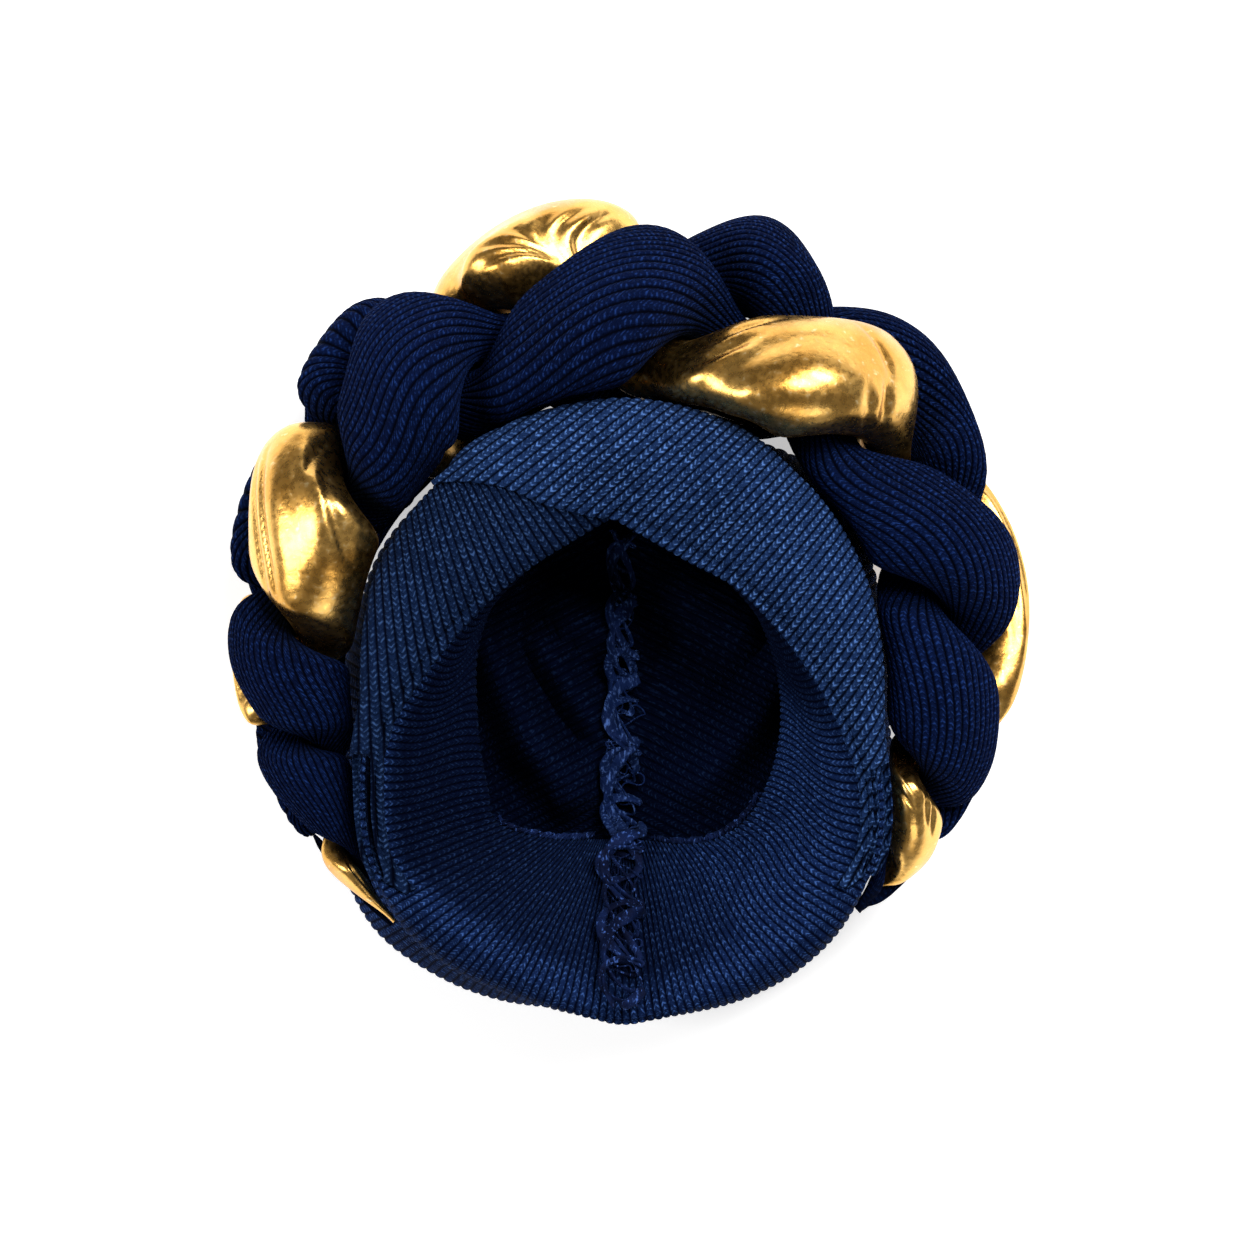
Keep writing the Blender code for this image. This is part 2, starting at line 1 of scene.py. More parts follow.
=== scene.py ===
"""Looks of the pre-tied turban headwrap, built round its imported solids: ribbed navy knit,
a foil-faced plait strand, overlocked seams, a pale floor and soft studio light."""

import math

import bpy
import numpy as np
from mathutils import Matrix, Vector
from mathutils.bvhtree import BVHTree


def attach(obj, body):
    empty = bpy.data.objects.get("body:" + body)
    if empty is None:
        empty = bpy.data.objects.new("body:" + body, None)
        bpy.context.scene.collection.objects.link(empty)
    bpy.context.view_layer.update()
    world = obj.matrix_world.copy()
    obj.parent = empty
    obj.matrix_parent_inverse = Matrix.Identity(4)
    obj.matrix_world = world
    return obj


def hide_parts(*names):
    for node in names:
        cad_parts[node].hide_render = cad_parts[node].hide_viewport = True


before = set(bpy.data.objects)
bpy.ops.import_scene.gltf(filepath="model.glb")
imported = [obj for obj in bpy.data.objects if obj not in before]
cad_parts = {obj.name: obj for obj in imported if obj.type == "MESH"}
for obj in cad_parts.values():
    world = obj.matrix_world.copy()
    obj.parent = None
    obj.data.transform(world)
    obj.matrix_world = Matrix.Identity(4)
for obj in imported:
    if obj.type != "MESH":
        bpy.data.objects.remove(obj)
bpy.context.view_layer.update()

MM = 0.001
TURN = 2 * math.pi

# Cloth thicknesses and clearances, in millimetres, as in the solids.
CAP_CLOTH = 1.8
BAND_CLOTH = 2.4
CLEARANCE = 0.65
RIM_EASE = 0.6

# Heights of the cap, in millimetres.
BULGE_HEIGHT = 17.0
FRONT_RIM_HEIGHT = 86.0
NAPE_RIM_HEIGHT = 66.0
FRONT_CREST_LIFT = 4.0
FRONT_HEM_HEIGHT = 60.0
SIDE_HEM_HEIGHT = 40.0
NAPE_HEM_HEIGHT = 27.0
RIM_SETBACK = 4.4
RIM_SINK = 3.0
CAP_LAST_ROW = 13
RIM_SPAN = 10.2
NECK_SPAN = 6.0

# Radii every 15 degrees round the opening: rim fold, neck, bulge, raw edge of the hem.
STATION_STEP = 15.0
CAP_STATIONS = (
    (77.9, 82.0, 91.0, 48.0),
    (74.5, 84.5, 92.0, 54.0),
    (72.8, 94.0, 101.5, 61.0),
    (73.3, 105.5, 114.5, 69.0),
    (76.0, 115.0, 124.0, 78.0),
    (80.6, 120.0, 122.5, 87.0),
    (84.5, 122.0, 124.5, 95.0),
    (80.8, 120.0, 123.0, 87.0),
    (76.6, 115.0, 118.0, 78.5),
    (74.4, 107.0, 113.0, 67.5),
    (74.8, 96.0, 104.0, 56.0),
    (78.0, 86.5, 100.0, 49.0),
    (78.3, 82.5, 101.0, 45.0),
    (78.6, 83.0, 97.5, 44.0),
    (75.5, 83.5, 95.5, 34.0),
    (70.3, 80.0, 89.0, 26.0),
    (68.3, 75.5, 82.5, 21.0),
    (70.2, 73.5, 76.5, 19.0),
    (73.8, 73.2, 73.0, 18.0),
    (71.2, 74.5, 76.0, 19.0),
    (70.3, 78.0, 80.5, 22.0),
    (72.8, 81.5, 84.0, 28.0),
    (78.3, 83.5, 87.0, 36.0),
    (79.5, 82.5, 88.0, 43.0),
)
ARCH_POINT = 6.5
ARCH_SPREAD = 7.0

# Degrees, counted from the nape, over which the bands begin and cease to cover the rim.
BANDS_BEGIN = (58.0, 78.0)
BANDS_CEASE = (288.0, 306.0)

# Rolled edge of the bare rim: degrees from the nape over which it ends and begins again, then
# the height, row and width in rows of its roll and of the crease beside it.
BARE_CEASES = (44.0, 60.0)
BARE_BEGINS = (300.0, 316.0)
RIM_ROLL = (1.5, 10.05, 0.30)
RIM_CREASE = (1.3, 9.45, 0.22)

# Twist of the turned-in hem: angle round the opening, degrees the raw edge runs ahead.
HEM_TWIST = (
    (-60.0, 7.0),
    (-35.0, 11.0),
    (-10.0, 13.0),
    (10.0, 13.0),
    (35.0, 8.0),
    (65.0, 0.0),
    (110.0, -3.0),
    (140.0, -13.0),
    (160.0, -12.0),
    (180.0, -6.0),
    (202.0, 0.0),
    (235.0, 2.0),
    (270.0, 0.0),
    (300.0, 7.0),
)

# Painted shade of the turned-in hem: angle round the opening, 0 as bright as the cap, 1 as dark as
# its inside.
HEM_SHADE = (
    (-60.0, 0.50),
    (-35.0, 0.00),
    (-12.0, 0.00),
    (10.0, 0.05),
    (30.0, 0.95),
    (60.0, 1.00),
    (150.0, 1.00),
    (188.0, 0.95),
    (212.0, 0.80),
    (240.0, 0.66),
    (270.0, 0.80),
    (300.0, 0.50),
)

# Painted shade of the outer wall where no band covers it, and of the left band, on the same scale.
WALL_SHADE = 0.45
LEFT_SHADE = 0.68

# Heights between which the painted shade on the cap's inner face goes from darkest to none.
PAINTED_SHADE_HEIGHTS = (34.0, 70.0)

# Rows of the cap over which ribs begin, folds cease, the wall's painted shade ends and the hem's
# begins.
RIBS_BEGIN = (2.9, 3.6)
FOLDS_CEASE = (2.4, 3.6)
WALL_ENDS = (9.2, 9.8)
HEM_BEGINS = (10.25, 10.6)

# Ribs across the crown: the last row that has them, and the lean of their direction in plan.
CROWN_LAST = 3.2
CROWN_LEAN = (0.45, 0.88)

# Rows of the cap's mesh on each face: first, last and how many.
OUTER_RUNS = ((0.25, 2.93, 17), (3.1, 8.6, 18), (8.8, 10.8, 14), (11.0, CAP_LAST_ROW, 12))
INNER_RUNS = ((CAP_LAST_ROW, 10.4, 7), (10.0, 3.4, 13), (3.1, 0.25, 18))

# Folds of slack cloth on the crown: both ends, height and half width.
CROWN_FOLDS = (
    (-46.0, 49.0, -30.0, 13.0, 23.0, 8.5),
    (-30.0, 13.0, -17.0, -3.0, 20.0, 8.0),
    (-17.0, -3.0, -6.0, 15.0, 16.0, 6.0),
    (-27.0, 46.0, -15.0, 29.0, 17.0, 7.5),
    (-15.0, 29.0, -1.0, 13.0, 15.0, 6.0),
    (-18.0, 56.0, -2.0, 52.0, 19.0, 10.0),
    (26.0, 0.0, 45.0, 23.0, 12.0, 8.0),
    (45.0, 23.0, 55.0, 43.0, 14.0, 8.0),
    (22.0, 66.0, 40.0, 52.0, 15.0, 9.0),
)
FOLD_ONSET = 1.5
FOLD_OVERLAP = 0.15

# Front bands: angle, inner and outer edge as shares of the way from rim fold to neck.
RIGHT_BAND = (
    (-24.0, 0.00, 0.40),
    (-10.0, 0.00, 0.72),
    (8.0, 0.00, 0.84),
    (30.0, 0.00, 0.90),
    (55.0, 0.00, 0.92),
    (80.0, 0.00, 0.92),
    (89.0, 0.02, 0.92),
    (101.0, 0.26, 0.92),
    (112.0, 0.55, 0.92),
    (121.0, 0.76, 0.92),
)
LEFT_BAND = (
    (78.0, 0.04, 0.90),
    (90.0, 0.02, 0.90),
    (112.0, 0.00, 0.90),
    (135.0, 0.00, 0.86),
    (150.0, 0.00, 0.72),
    (165.0, 0.00, 0.62),
    (180.0, 0.00, 0.58),
    (195.0, 0.00, 0.50),
    (206.0, 0.00, 0.36),
)
# Degrees over which the right band begins and ceases to lie over the left one.
LAP_BEGINS = (60.0, 74.0)
LAP_ENDS = (123.0, 130.0)

# Stations along each band and columns across it; then the far centre, in plan, from which
# its ribs fan out, and their distance from it where they have their full pitch.
RIGHT_GRID = (520, 90)
RIGHT_FAN = (318.0, 388.0, 440.0)
LEFT_GRID = (440, 84)
LEFT_FAN = (-87.0, 179.0, 115.0)
UNDER_COLUMNS = 13

# Heights over which the bands, and the right band's lap, begin to thicken the cap's wall.
BAND_FOOT = (30.0, 45.0)
LAP_FOOT = (55.0, 62.0)

# Ends of the bands: degrees over which they narrow, and what is left of width and thickness.
TAIL_RUN = 9.0
TAIL_WIDTH = 0.25
TAIL_THICK = 0.45

# Section of the bands: share of the thickness at their edges, and how soon it is full.
EDGE_THICK = 0.30
PUFF_POWER = 0.4

# Rolled inner edge of the bands: height, place and width of its cord and of its crease, and
# the degrees over which the left band comes out from under the right one.
EDGE_CORD = (1.0, 0.04, 0.024)
EDGE_CREASE = (1.2, 0.105, 0.020)
LAPPED = (124.0, 132.0)

# Plait: angle round its own centre, inner and outer edge, height of its middle.
PLAIT_CENTRE_Y = 49.0
PLAIT_ROWS = (
    (-49.0, 116.0, 120.5, 46.0),
    (-43.0, 109.0, 124.0, 46.0),
    (-36.0, 101.5, 125.0, 46.0),
    (-28.0, 94.5, 126.0, 45.0),
    (-18.0, 89.5, 129.0, 43.0),
    (0.0, 86.0, 133.5, 42.5),
    (30.0, 81.0, 138.5, 42.5),
    (60.0, 77.0, 142.5, 42.5),
    (75.0, 76.0, 145.5, 42.5),
    (90.0, 75.5, 144.5, 42.5),
    (120.0, 77.5, 142.5, 42.5),
    (150.0, 84.0, 138.0, 42.5),
    (165.0, 88.0, 134.5, 42.5),
    (180.0, 91.0, 131.0, 43.0),
    (200.0, 93.0, 127.5, 44.0),
    (215.0, 104.0, 125.0, 46.0),
    (224.0, 111.5, 122.5, 48.0),
    (231.0, 117.5, 121.5, 49.0),
)
# Form of the plait: angle, tilt of its face, share of the full lift, share of the full depth,
# and the angle by which its outer edge runs ahead of its inner edge.
PLAIT_FORM = (
    (-49.0, 76.0, 1.00, 1.00, 12.0),
    (-42.0, 78.0, 0.60, 1.35, 12.0),
    (-23.0, 80.0, 0.40, 1.60, 14.0),
    (10.0, 70.0, 0.60, 1.40, 14.0),
    (35.0, 60.0, 0.90, 1.12, 13.0),
    (68.0, 60.0, 0.90, 1.08, 0.0),
    (90.0, 60.0, 0.90, 1.08, -10.0),
    (107.0, 61.0, 0.90, 1.10, -17.0),
    (127.0, 62.0, 0.88, 1.20, -13.0),
    (150.0, 70.0, 0.55, 1.36, -17.0),
    (181.0, 80.0, 0.45, 1.45, -20.0),
    (218.0, 80.0, 0.50, 1.40, -20.0),
    (231.0, 76.0, 1.00, 1.00, -20.0),
)
# Angles where a leaf of the plait lies on top; the next leaf is the next strand's.
LEAF_ANGLES = (-37.0, -21.0, 13.0, 49.0, 88.0, 127.0, 154.0, 182.0, 201.0, 221.0)
FIRST_TURN = 1.25 * math.pi
PLAIT_FULL_WIDTH = 72.0
PLAIT_INNER_REACH = 33.5
SWING = 17.5
LIFT = 12.5
STRAND_HALF_WIDTH = 31.0
STRAND_HALF_DEPTH = 23.0
INNER_EASE = 0.42
SEAT_EASE = 1.25
LEAD_ONSET = 0.7
SECTION_POWER = 7.0
STRAND_GAP = 1.15
LEAST_ROOM = 0.2
PLAIT_CLEARANCE = 0.5

# Search for the free length of a strand's rays: rows of the cap's wall, slack in height, steps
# along a ray, the shares of it that are tried first and kept at least, and the lowest height.
WALL_ROWS = (3.0, 9.0, 31)
WALL_SLACK = 2.5
RAY_STEPS = 80
RAY_FIRST = 0.02
RAY_LEAST = 0.05
LOWEST = 0.3

# Ribs of the knit: how many go round each piece, how deep they are and how long a stitch is.
CAP_RIBS = 176
CAP_SAMPLES = 5
RIB_PITCH = 2.8
RIB_DEPTH = 0.62
RIB_POWER = 2.6
RIB_MIDDLE = 0.6
STITCH = 1.9

# Strands: rings and sides of their smooth base, samples of the plait's turn, how fast the
# relief grows from each end over the whole length, and the least height.
BASE_RINGS = 200
BASE_SIDES = 32
PHASE_SAMPLES = 900
FADE_RATE = 12.0
STRAND_FLOOR = 0.2

# Mesh of the two knit strands and of the foil one.
STRAND_RIBS = 54
STRAND_SAMPLES = 6
STRAND_SLICES = 288
STRAND_RIB_MIDDLE = 0.75
FOIL_SIDES = 150
FOIL_SLICES = 640
FOIL_RADIUS = 21.0
FOIL_SIDES_A_UNIT = 8.0

# Folds of the foil strand: share of its length and angle round it at both ends of a fold,
# height, width, and how much narrower its steep side is.
FOIL_FOLDS = (
    (0.436, 144.0, 0.402, 100.0, -1.9, 2.4, 0.35),
    (0.4345, 154.0, 0.410, 132.0, -2.4, 3.0, 0.35),
    (0.437, 160.0, 0.408, 141.0, 0.9, 2.2, 1.00),
    (0.425, 168.0, 0.352, 152.0, 1.5, 7.5, 1.00),
    (0.414, 152.0, 0.383, 116.0, -0.8, 4.0, 0.80),
    (0.405, 136.0, 0.376, 104.0, 0.7, 4.0, 1.00),
    (0.376, 86.0, 0.352, 125.0, -1.0, 1.9, 0.45),
    (0.354, 128.0, 0.342, 152.0, -1.8, 2.2, 0.45),
    (0.358, 146.0, 0.343, 166.0, -0.9, 1.8, 0.50),
    (0.517, 132.0, 0.4905, 114.0, -1.6, 2.0, 0.55),
    (0.516, 117.0, 0.4905, 111.0, -1.7, 1.9, 0.55),
    (0.513, 102.0, 0.4910, 108.0, -1.7, 1.9, 0.55),
    (0.509, 88.0, 0.4910, 105.0, -1.7, 1.9, 0.55),
    (0.504, 74.0, 0.4900, 102.0, -1.6, 2.0, 0.55),
    (0.497, 62.0, 0.4840, 98.0, -1.8, 2.2, 0.35),
    (0.650, 100.0, 0.722, 148.0, -1.2, 1.7, 0.45),
    (0.658, 90.0, 0.728, 138.0, -1.0, 1.7, 0.45),
    (0.628, 138.0, 0.652, 152.0, -1.7, 2.8, 0.45),
    (0.640, 128.0, 0.705, 168.0, -1.2, 5.0, 0.80),
    (0.632, 152.0, 0.692, 198.0, -1.4, 2.2, 0.45),
    (0.655, 172.0, 0.705, 186.0, 0.9, 3.5, 1.00),
    (0.275, 58.0, 0.232, 82.0, -1.3, 1.8, 0.50),
    (0.275, 72.0, 0.232, 96.0, -1.4, 1.8, 0.50),
    (0.275, 86.0, 0.232, 110.0, -1.3, 1.8, 0.50),
    (0.172, 238.0, 0.146, 176.0, -1.4, 2.0, 0.45),
    (0.166, 212.0, 0.132, 160.0, -1.2, 2.2, 0.50),
    (0.155, 156.0, 0.112, 140.0, -1.3, 1.7, 0.45),
    (0.150, 140.0, 0.105, 124.0, -1.3, 1.7, 0.45),
    (0.140, 200.0, 0.118, 164.0, -0.9, 1.8, 0.50),
    (0.915, 180.0, 0.985, 194.0, -1.1, 1.5, 0.45),
    (0.915, 164.0, 0.985, 178.0, -1.1, 1.5, 0.45),
)

# Back seam: run of the ruffle, then the wave length, half spread, half width and lift of each
# ribbon, and how far its waves loop back.
SEAM_START_Y = -70.0
SEAM_END_Y = 86.0
SEAM_RIBBONS = (
    (25.0, 6.2, 3.3, 1.2),
    (17.0, 7.0, 2.5, 2.2),
    (31.0, 6.0, 2.2, 3.0),
    (12.0, 5.0, 1.0, 3.8),
)
SEAM_LOOP = 4.0
RIBBON_SAMPLES = 330

# Loose threads of the back seam: how many, points in each, run, half spread and radius.
SEAM_THREADS = 8
THREAD_SAMPLES = 120
THREAD_RUN = 22.0
THREAD_SPREAD = 6.4
THREAD_RADIUS = 0.30

# The seam lies on the highest cloth below a ceiling, which is lower under the front hem.
OVERHANG_Y = 55.0
OPEN_CEILING = 100.0
OVERHANG_CEILING = 46.0

# Hem seams: half width, coil and number of waves of each cord; then the angle where each seam
# starts and ends, and the shift of its waves.
HEM_CORDS = (
    (1.5, 0.30, 7.0),
    (0.32, 1.30, 17.0),
    (0.30, 1.00, 11.0),
)
HEM_SAMPLES = 220
HEM_SEAMS = {
    "hem_seam_left": (193.0, 240.0, 0.0),
    "hem_seam_right": (300.0, 358.0, 2.0),
}

# Irregular wave of threads and ruffles: height, rate and shift by seed of each of its sines.
WAVER_SINES = ((1.0, 1.0, 2.399), (0.6, 2.3, 5.1), (0.35, 4.7, 1.7))
WAVER_FULL = 1.6

# Colours of each knit: painted shade in its grooves, its ribs, and painted highlights on its
# stitches.
CAP_COLOURS = ((0.0002, 0.0009, 0.0070), (0.0050, 0.0150, 0.0640), (0.036, 0.090, 0.28))
# The bands' set is lighter than the cap's, painted light on the same navy knit; the strands' set is
# darker.
BAND_COLOURS = ((0.0002, 0.0009, 0.0056), (0.0085, 0.0245, 0.0850), (0.070, 0.160, 0.42))
STRAND_COLOURS = ((0.0001, 0.0004, 0.0026), (0.0016, 0.0052, 0.0290), (0.008, 0.026, 0.12))
SHEEN_TINT = (0.25, 0.42, 0.95, 1.0)

# Colours of the foil: bright, deep, and pale where it is rubbed.
FOIL_COLOURS = ((0.86, 0.51, 0.14), (0.62, 0.31, 0.06))
FOIL_WORN = (0.95, 0.72, 0.36)

# Colours of the thread, its paler pair of painted light deep in the crown, and the heights, in
# metres, between which it turns from one to the other.
THREAD_COLOURS = ((0.0030, 0.0095, 0.048), (0.0007, 0.0025, 0.016))
THREAD_LIGHT = (0.045, 0.105, 0.36)
THREAD_PAINTED_LIGHT = ((0.006, 0.019, 0.09), (0.09, 0.18, 0.50))
PAINTED_LIGHT_HEIGHTS = (0.012, 0.036)
THREAD_TINT = (0.3, 0.5, 1.0, 1.0)

# Camera, in metres: the point that it looks at, how far above it stands and the width it sees.
VIEW_PLACE = (0.0016, 0.0533)
VIEW_HEIGHT = 0.06
VIEW_DISTANCE = 1.39
VIEW_WIDTH = 0.41
SENSOR_WIDTH = 36.0

# Lamps, in metres and watts: place, size and power; all point at the turban's middle.
LAMPS = {
    "key_front_right": ((0.75, 0.95, 0.95), (0.6, 0.45), 14.0),
    "overhead_right": ((0.40, 0.60, 1.35), (0.7, 0.4), 14.0),
    "fill_left": ((-1.0, -0.05, 0.85), (0.5, 0.7), 9.5),
    "low_nape": ((0.35, -1.05, 0.75), (0.8, 0.4), 2.5),
}
LAMP_TARGET = (0.0, 0.05, 0.05)
WORLD_COLOUR = (1.0, 0.96, 0.90, 1.0)
WORLD_STRENGTH = 0.14

# Floor, in metres: half its side and how far it lies below the turban; and its own light.
FLOOR_REACH = 3.0
FLOOR_DROP = 0.0003
FLOOR_COLOURS = ((0.90, 0.90, 0.90), (0.92, 0.92, 0.92))
FLOOR_GLOW = 0.5


def cubic(first, start, last, end, t):
    """Cubic from the first value to the last, with slopes start and end, for t from 0 to 1."""
    value = (2 * t**3 - 3 * t**2 + 1) * first + (t**3 - 2 * t**2 + t) * start
    return value + (3 * t**2 - 2 * t**3) * last + (t**3 - t**2) * end


def curve_through(xs, ys, at):
    """Smooth curve through the points, without overshoot between them."""
    xs = np.asarray(xs, float)
    ys = np.asarray(ys, float)
    step = np.diff(xs)
    slope = np.diff(ys) / step
    same = slope[:-1] * slope[1:] > 0
    weight_a = 2 * step[1:] + step[:-1]
    weight_b = step[1:] + 2 * step[:-1]
    safe_a = np.where(same, slope[:-1], 1.0)
    safe_b = np.where(same, slope[1:], 1.0)
    mean = (weight_a + weight_b) / (weight_a / safe_a + weight_b / safe_b)
    tangent = np.concatenate([slope[:1], np.where(same, mean, 0.0), slope[-1:]])
    at = np.clip(np.asarray(at, float), xs[0], xs[-1])
    k = np.clip(np.searchsorted(xs, at, side="right") - 1, 0, len(xs) - 2)
    t = (at - xs[k]) / step[k]
    return cubic(ys[k], step[k] * tangent[k], ys[k + 1], step[k] * tangent[k + 1], t)


def table_curve(table, column, at):
    """One column of a table as a smooth curve over its first column."""
    rows = np.array(table)
    return curve_through(rows[:, 0], rows[:, column], at)


def spline(points, at, closed=False):
    """Smooth curve through rows of points, at row numbers that may be fractions."""
    count = len(points)
    k = np.floor(at).astype(int)
    if not closed:
        k = np.clip(k, 0, count - 2)
    rows = [k + shift for shift in (-1, 0, 1, 2)]
    p0, p1, p2, p3 = (points[row % count if closed else np.clip(row, 0, count - 1)] for row in rows)
    t = (at - k).reshape(-1, *[1] * (points.ndim - 1))
    return cubic(p1, (p2 - p0) / 2, p2, (p3 - p1) / 2, t)


def round_table(column, degrees):
    """One column of the cap's stations, smooth and closed round the opening."""
    values = np.array([row[column] for row in CAP_STATIONS])
    return spline(values, (np.asarray(degrees, float) % 360.0) / STATION_STEP, closed=True)


def smooth_step(low, high, value):
    """0 up to the low value, 1 from the high one, and smooth between them."""
    t = np.clip((value - low) / (high - low), 0.0, 1.0)
    return t * t * (3 - 2 * t)


def ridge(form, at):
    """Rounded ridge: the form is its height, its place and its width."""
    height, place, width = form
    return height * np.exp(-(((at - place) / width) ** 2))


def frontness(degrees):
    """1 at the forehead, 0 at the nape."""
    return 0.5 + 0.5 * np.sin(np.radians(degrees))


def from_nape(degrees):
    """Degrees round the opening, counted from the nape."""
    return (np.asarray(degrees, float) + 90.0) % 360.0


def under_band(degrees):
    """1 where a front band covers the cap's rim, 0 round the nape."""
    turned = from_nape(degrees)
    return smooth_step(*BANDS_BEGIN, turned) * (1 - smooth_step(*BANDS_CEASE, turned))


def rim_radius(degrees):
    """Radius of the rim fold, with the small point of its arch over the forehead."""
    from_front = np.abs(from_nape(degrees) - 180.0)
    return round_table(0, degrees) + ARCH_POINT * np.exp(-from_front / ARCH_SPREAD)


def fold_height(x, y):
    """Height of the slack folds over the crown at a place in plan."""
    total = np.zeros_like(x)
    for x0, y0, x1, y1, height, width in CROWN_FOLDS:
        run_x = x1 - x0
        run_y = y1 - y0
        along = ((x - x0) * run_x + (y - y0) * run_y) / (run_x**2 + run_y**2)
        along = np.clip(along, 0.0, 1.0)
        away = np.hypot(x - x0 - along * run_x, y - y0 - along * run_y)
        fold = ridge((height, 0.0, width), away)
        total = np.maximum(total, fold) + FOLD_OVERLAP * np.minimum(total, fold)
    return np.maximum(total - FOLD_ONSET, 0.0)


def cap_profile(degrees):
    """Control points (radius, height) of the cap's middle surface from crown to raw edge."""
    degrees = np.asarray(degrees, float)
    front = frontness(degrees)
    covered = under_band(degrees)
    rim = rim_radius(degrees) + RIM_SETBACK * covered
    rim_z = NAPE_RIM_HEIGHT + (FRONT_RIM_HEIGHT - NAPE_RIM_HEIGHT) * front - RIM_SINK * covered
    neck = round_table(1, degrees)
    bulge = round_table(2, degrees)
    hem = round_table(3, degrees)
    room = np.maximum(neck - rim, 0.0)
    crest_z = rim_z + FRONT_CREST_LIFT * smooth_step(4.0, 30.0, room)
    hem_heights = (NAPE_HEM_HEIGHT, SIDE_HEM_HEIGHT, FRONT_HEM_HEIGHT)
    hem_z = curve_through((0.0, 0.5, 1.0), hem_heights, front)
    floor = np.full_like(rim, CAP_CLOTH / 2)
    neck_z = 0.60 * rim_z
    shoulder = rim + room * 0.90
    rows = (
        (0.0 * bulge, floor),
        (0.34 * bulge, floor),
        (0.62 * bulge, floor),
        (0.84 * bulge, floor + 0.4),
        (0.97 * bulge, floor + 5.0),
        (bulge, floor + BULGE_HEIGHT),
        (neck, neck_z),
        (shoulder + 0.8, 0.25 * neck_z + 0.75 * crest_z),
        (rim + room * 0.55 + 1.0, crest_z),
        (rim + room * 0.18 + 1.4, 0.35 * crest_z + 0.65 * rim_z + 1.0),
        (rim - 1.6, rim_z - 2.6),
        (0.70 * rim + 0.30 * hem - 4.0, 0.72 * rim_z + 0.28 * hem_z - 3.0),
        (0.35 * rim + 0.65 * hem - 2.0, 0.35 * rim_z + 0.65 * hem_z - 2.5),
        (hem, hem_z),
    )
    return np.stack([np.stack([r, z], axis=-1) for r, z in rows])


def cap_surface(degrees, spans):
    """Middle surface of the cap: one row of points for each span number, one for each angle."""
    profile = spline(cap_profile(degrees), np.asarray(spans, float))
    angle = np.radians(degrees)[None, :]
    x = profile[..., 0] * np.cos(angle)
    y = profile[..., 0] * np.sin(angle)
    crown = 1 - smooth_step(*FOLDS_CEASE, np.asarray(spans, float))[:, None]
    z = profile[..., 1] + fold_height(x, y) * crown
    return np.stack([x, y, z], axis=-1)


def unit(vectors):
    """The vectors at length 1."""
    return vectors / np.maximum(np.linalg.norm(vectors, axis=-1, keepdims=True), 1e-9)


def cap_normals(degrees, spans):
    """Normals of the middle surface, pointing out of the cap's outer face."""
    degrees = np.asarray(degrees, float)
    spans = np.asarray(spans, float)
    step_s = 0.02
    step_u = 0.2
    below = np.clip(spans - step_s, 0.0, CAP_LAST_ROW)
    above = np.clip(spans + step_s, 0.0, CAP_LAST_ROW)
    along = cap_surface(degrees, above) - cap_surface(degrees, below)
    round_it = cap_surface(degrees + step_u, spans) - cap_surface(degrees - step_u, spans)
    return unit(np.cross(round_it, along))


def rib_height(number):
    """Height of a rib at a rib number: a rounded ridge between narrow grooves, 0 to 1."""
    phase = np.abs(2 * (number - np.floor(number)) - 1)
    return 1 - phase**RIB_POWER


def band_layer(degrees, shares, height):
    """Points over the cap's outer face: share 0 at the rim fold, 1 at the neck."""
    spans = RIM_SPAN + (NECK_SPAN - RIM_SPAN) * shares
    points = np.empty((len(degrees), shares.shape[1], 3))
    for i, angle in enumerate(degrees):
        at = np.array([angle])
        middle = cap_surface(at, spans[i])[:, 0]
        normal = cap_normals(at, spans[i])[:, 0]
        points[i] = middle + normal * height[i][:, None]
    return points


def outer_reach(x, y, z):
    """Radius of the cap with its bands round the opening, at each point's angle and height."""
    degrees = np.degrees(np.arctan2(y, x))
    line = spline(cap_profile(degrees), np.linspace(*WALL_ROWS))
    radius = line[..., 0]
    height = line[..., 1]
    inside = np.zeros_like(x)
    for k in range(len(line) - 1):
        low = np.minimum(height[k], height[k + 1]) - WALL_SLACK
        high = np.maximum(height[k], height[k + 1]) + WALL_SLACK
        here = (z >= low) & (z <= high)
        reach = np.maximum(radius[k], radius[k + 1])
        inside = np.where(here, np.maximum(inside, reach), inside)
    banded = under_band(degrees) * smooth_step(*BAND_FOOT, z)
    lapped = smooth_step(*LAP_BEGINS, degrees) * (1 - smooth_step(*LAP_ENDS, degrees))
    layers = banded * (1 + lapped * smooth_step(*LAP_FOOT, z))
    wall = inside + CAP_CLOTH / 2 + CLEARANCE
    return wall + layers * (BAND_CLOTH + CLEARANCE) + PLAIT_CLEARANCE


def plait_row(theta):
    """Radius of the plait's middle, its size as a share of the full one, and its height."""
    inner, outer, height = (table_curve(PLAIT_ROWS, k, theta) for k in (1, 2, 3))
    size = (outer - inner) / PLAIT_FULL_WIDTH
    return inner + PLAIT_INNER_REACH * size, size, height


def plait_phase(theta):
    """Turn of the plait at an angle: a third of a turn from one leaf to the next."""
    turns = FIRST_TURN + TURN / 3 * np.arange(len(LEAF_ANGLES))
    first = LEAF_ANGLES[0] - (LEAF_ANGLES[1] - LEAF_ANGLES[0])
    last = 2 * LEAF_ANGLES[-1] - LEAF_ANGLES[-2]
    angles = (first, *LEAF_ANGLES, last)
    turns = np.concatenate([[turns[0] - TURN / 3], turns, [turns[-1] + TURN / 3]])
    return curve_through(angles, turns, theta)


def plait_form(theta):
    """Tilt, lift, depth and lead of the plait at an angle, as in its table of form."""
    tilt, lift, depth, lead = (table_curve(PLAIT_FORM, k, theta) for k in (1, 2, 3, 4))
    return math.radians(tilt), lift, depth, lead


def strand_centre(strand, theta):
    """Place of a strand's middle in the slice across the plait: along its width, off its face."""
    size = plait_row(theta)[1]
    lift = plait_form(theta)[1] * LIFT
    turn = plait_phase(theta) - TURN / 3 * strand
    return np.array([SWING * size * math.sin(turn), lift * size * math.sin(2 * turn)])


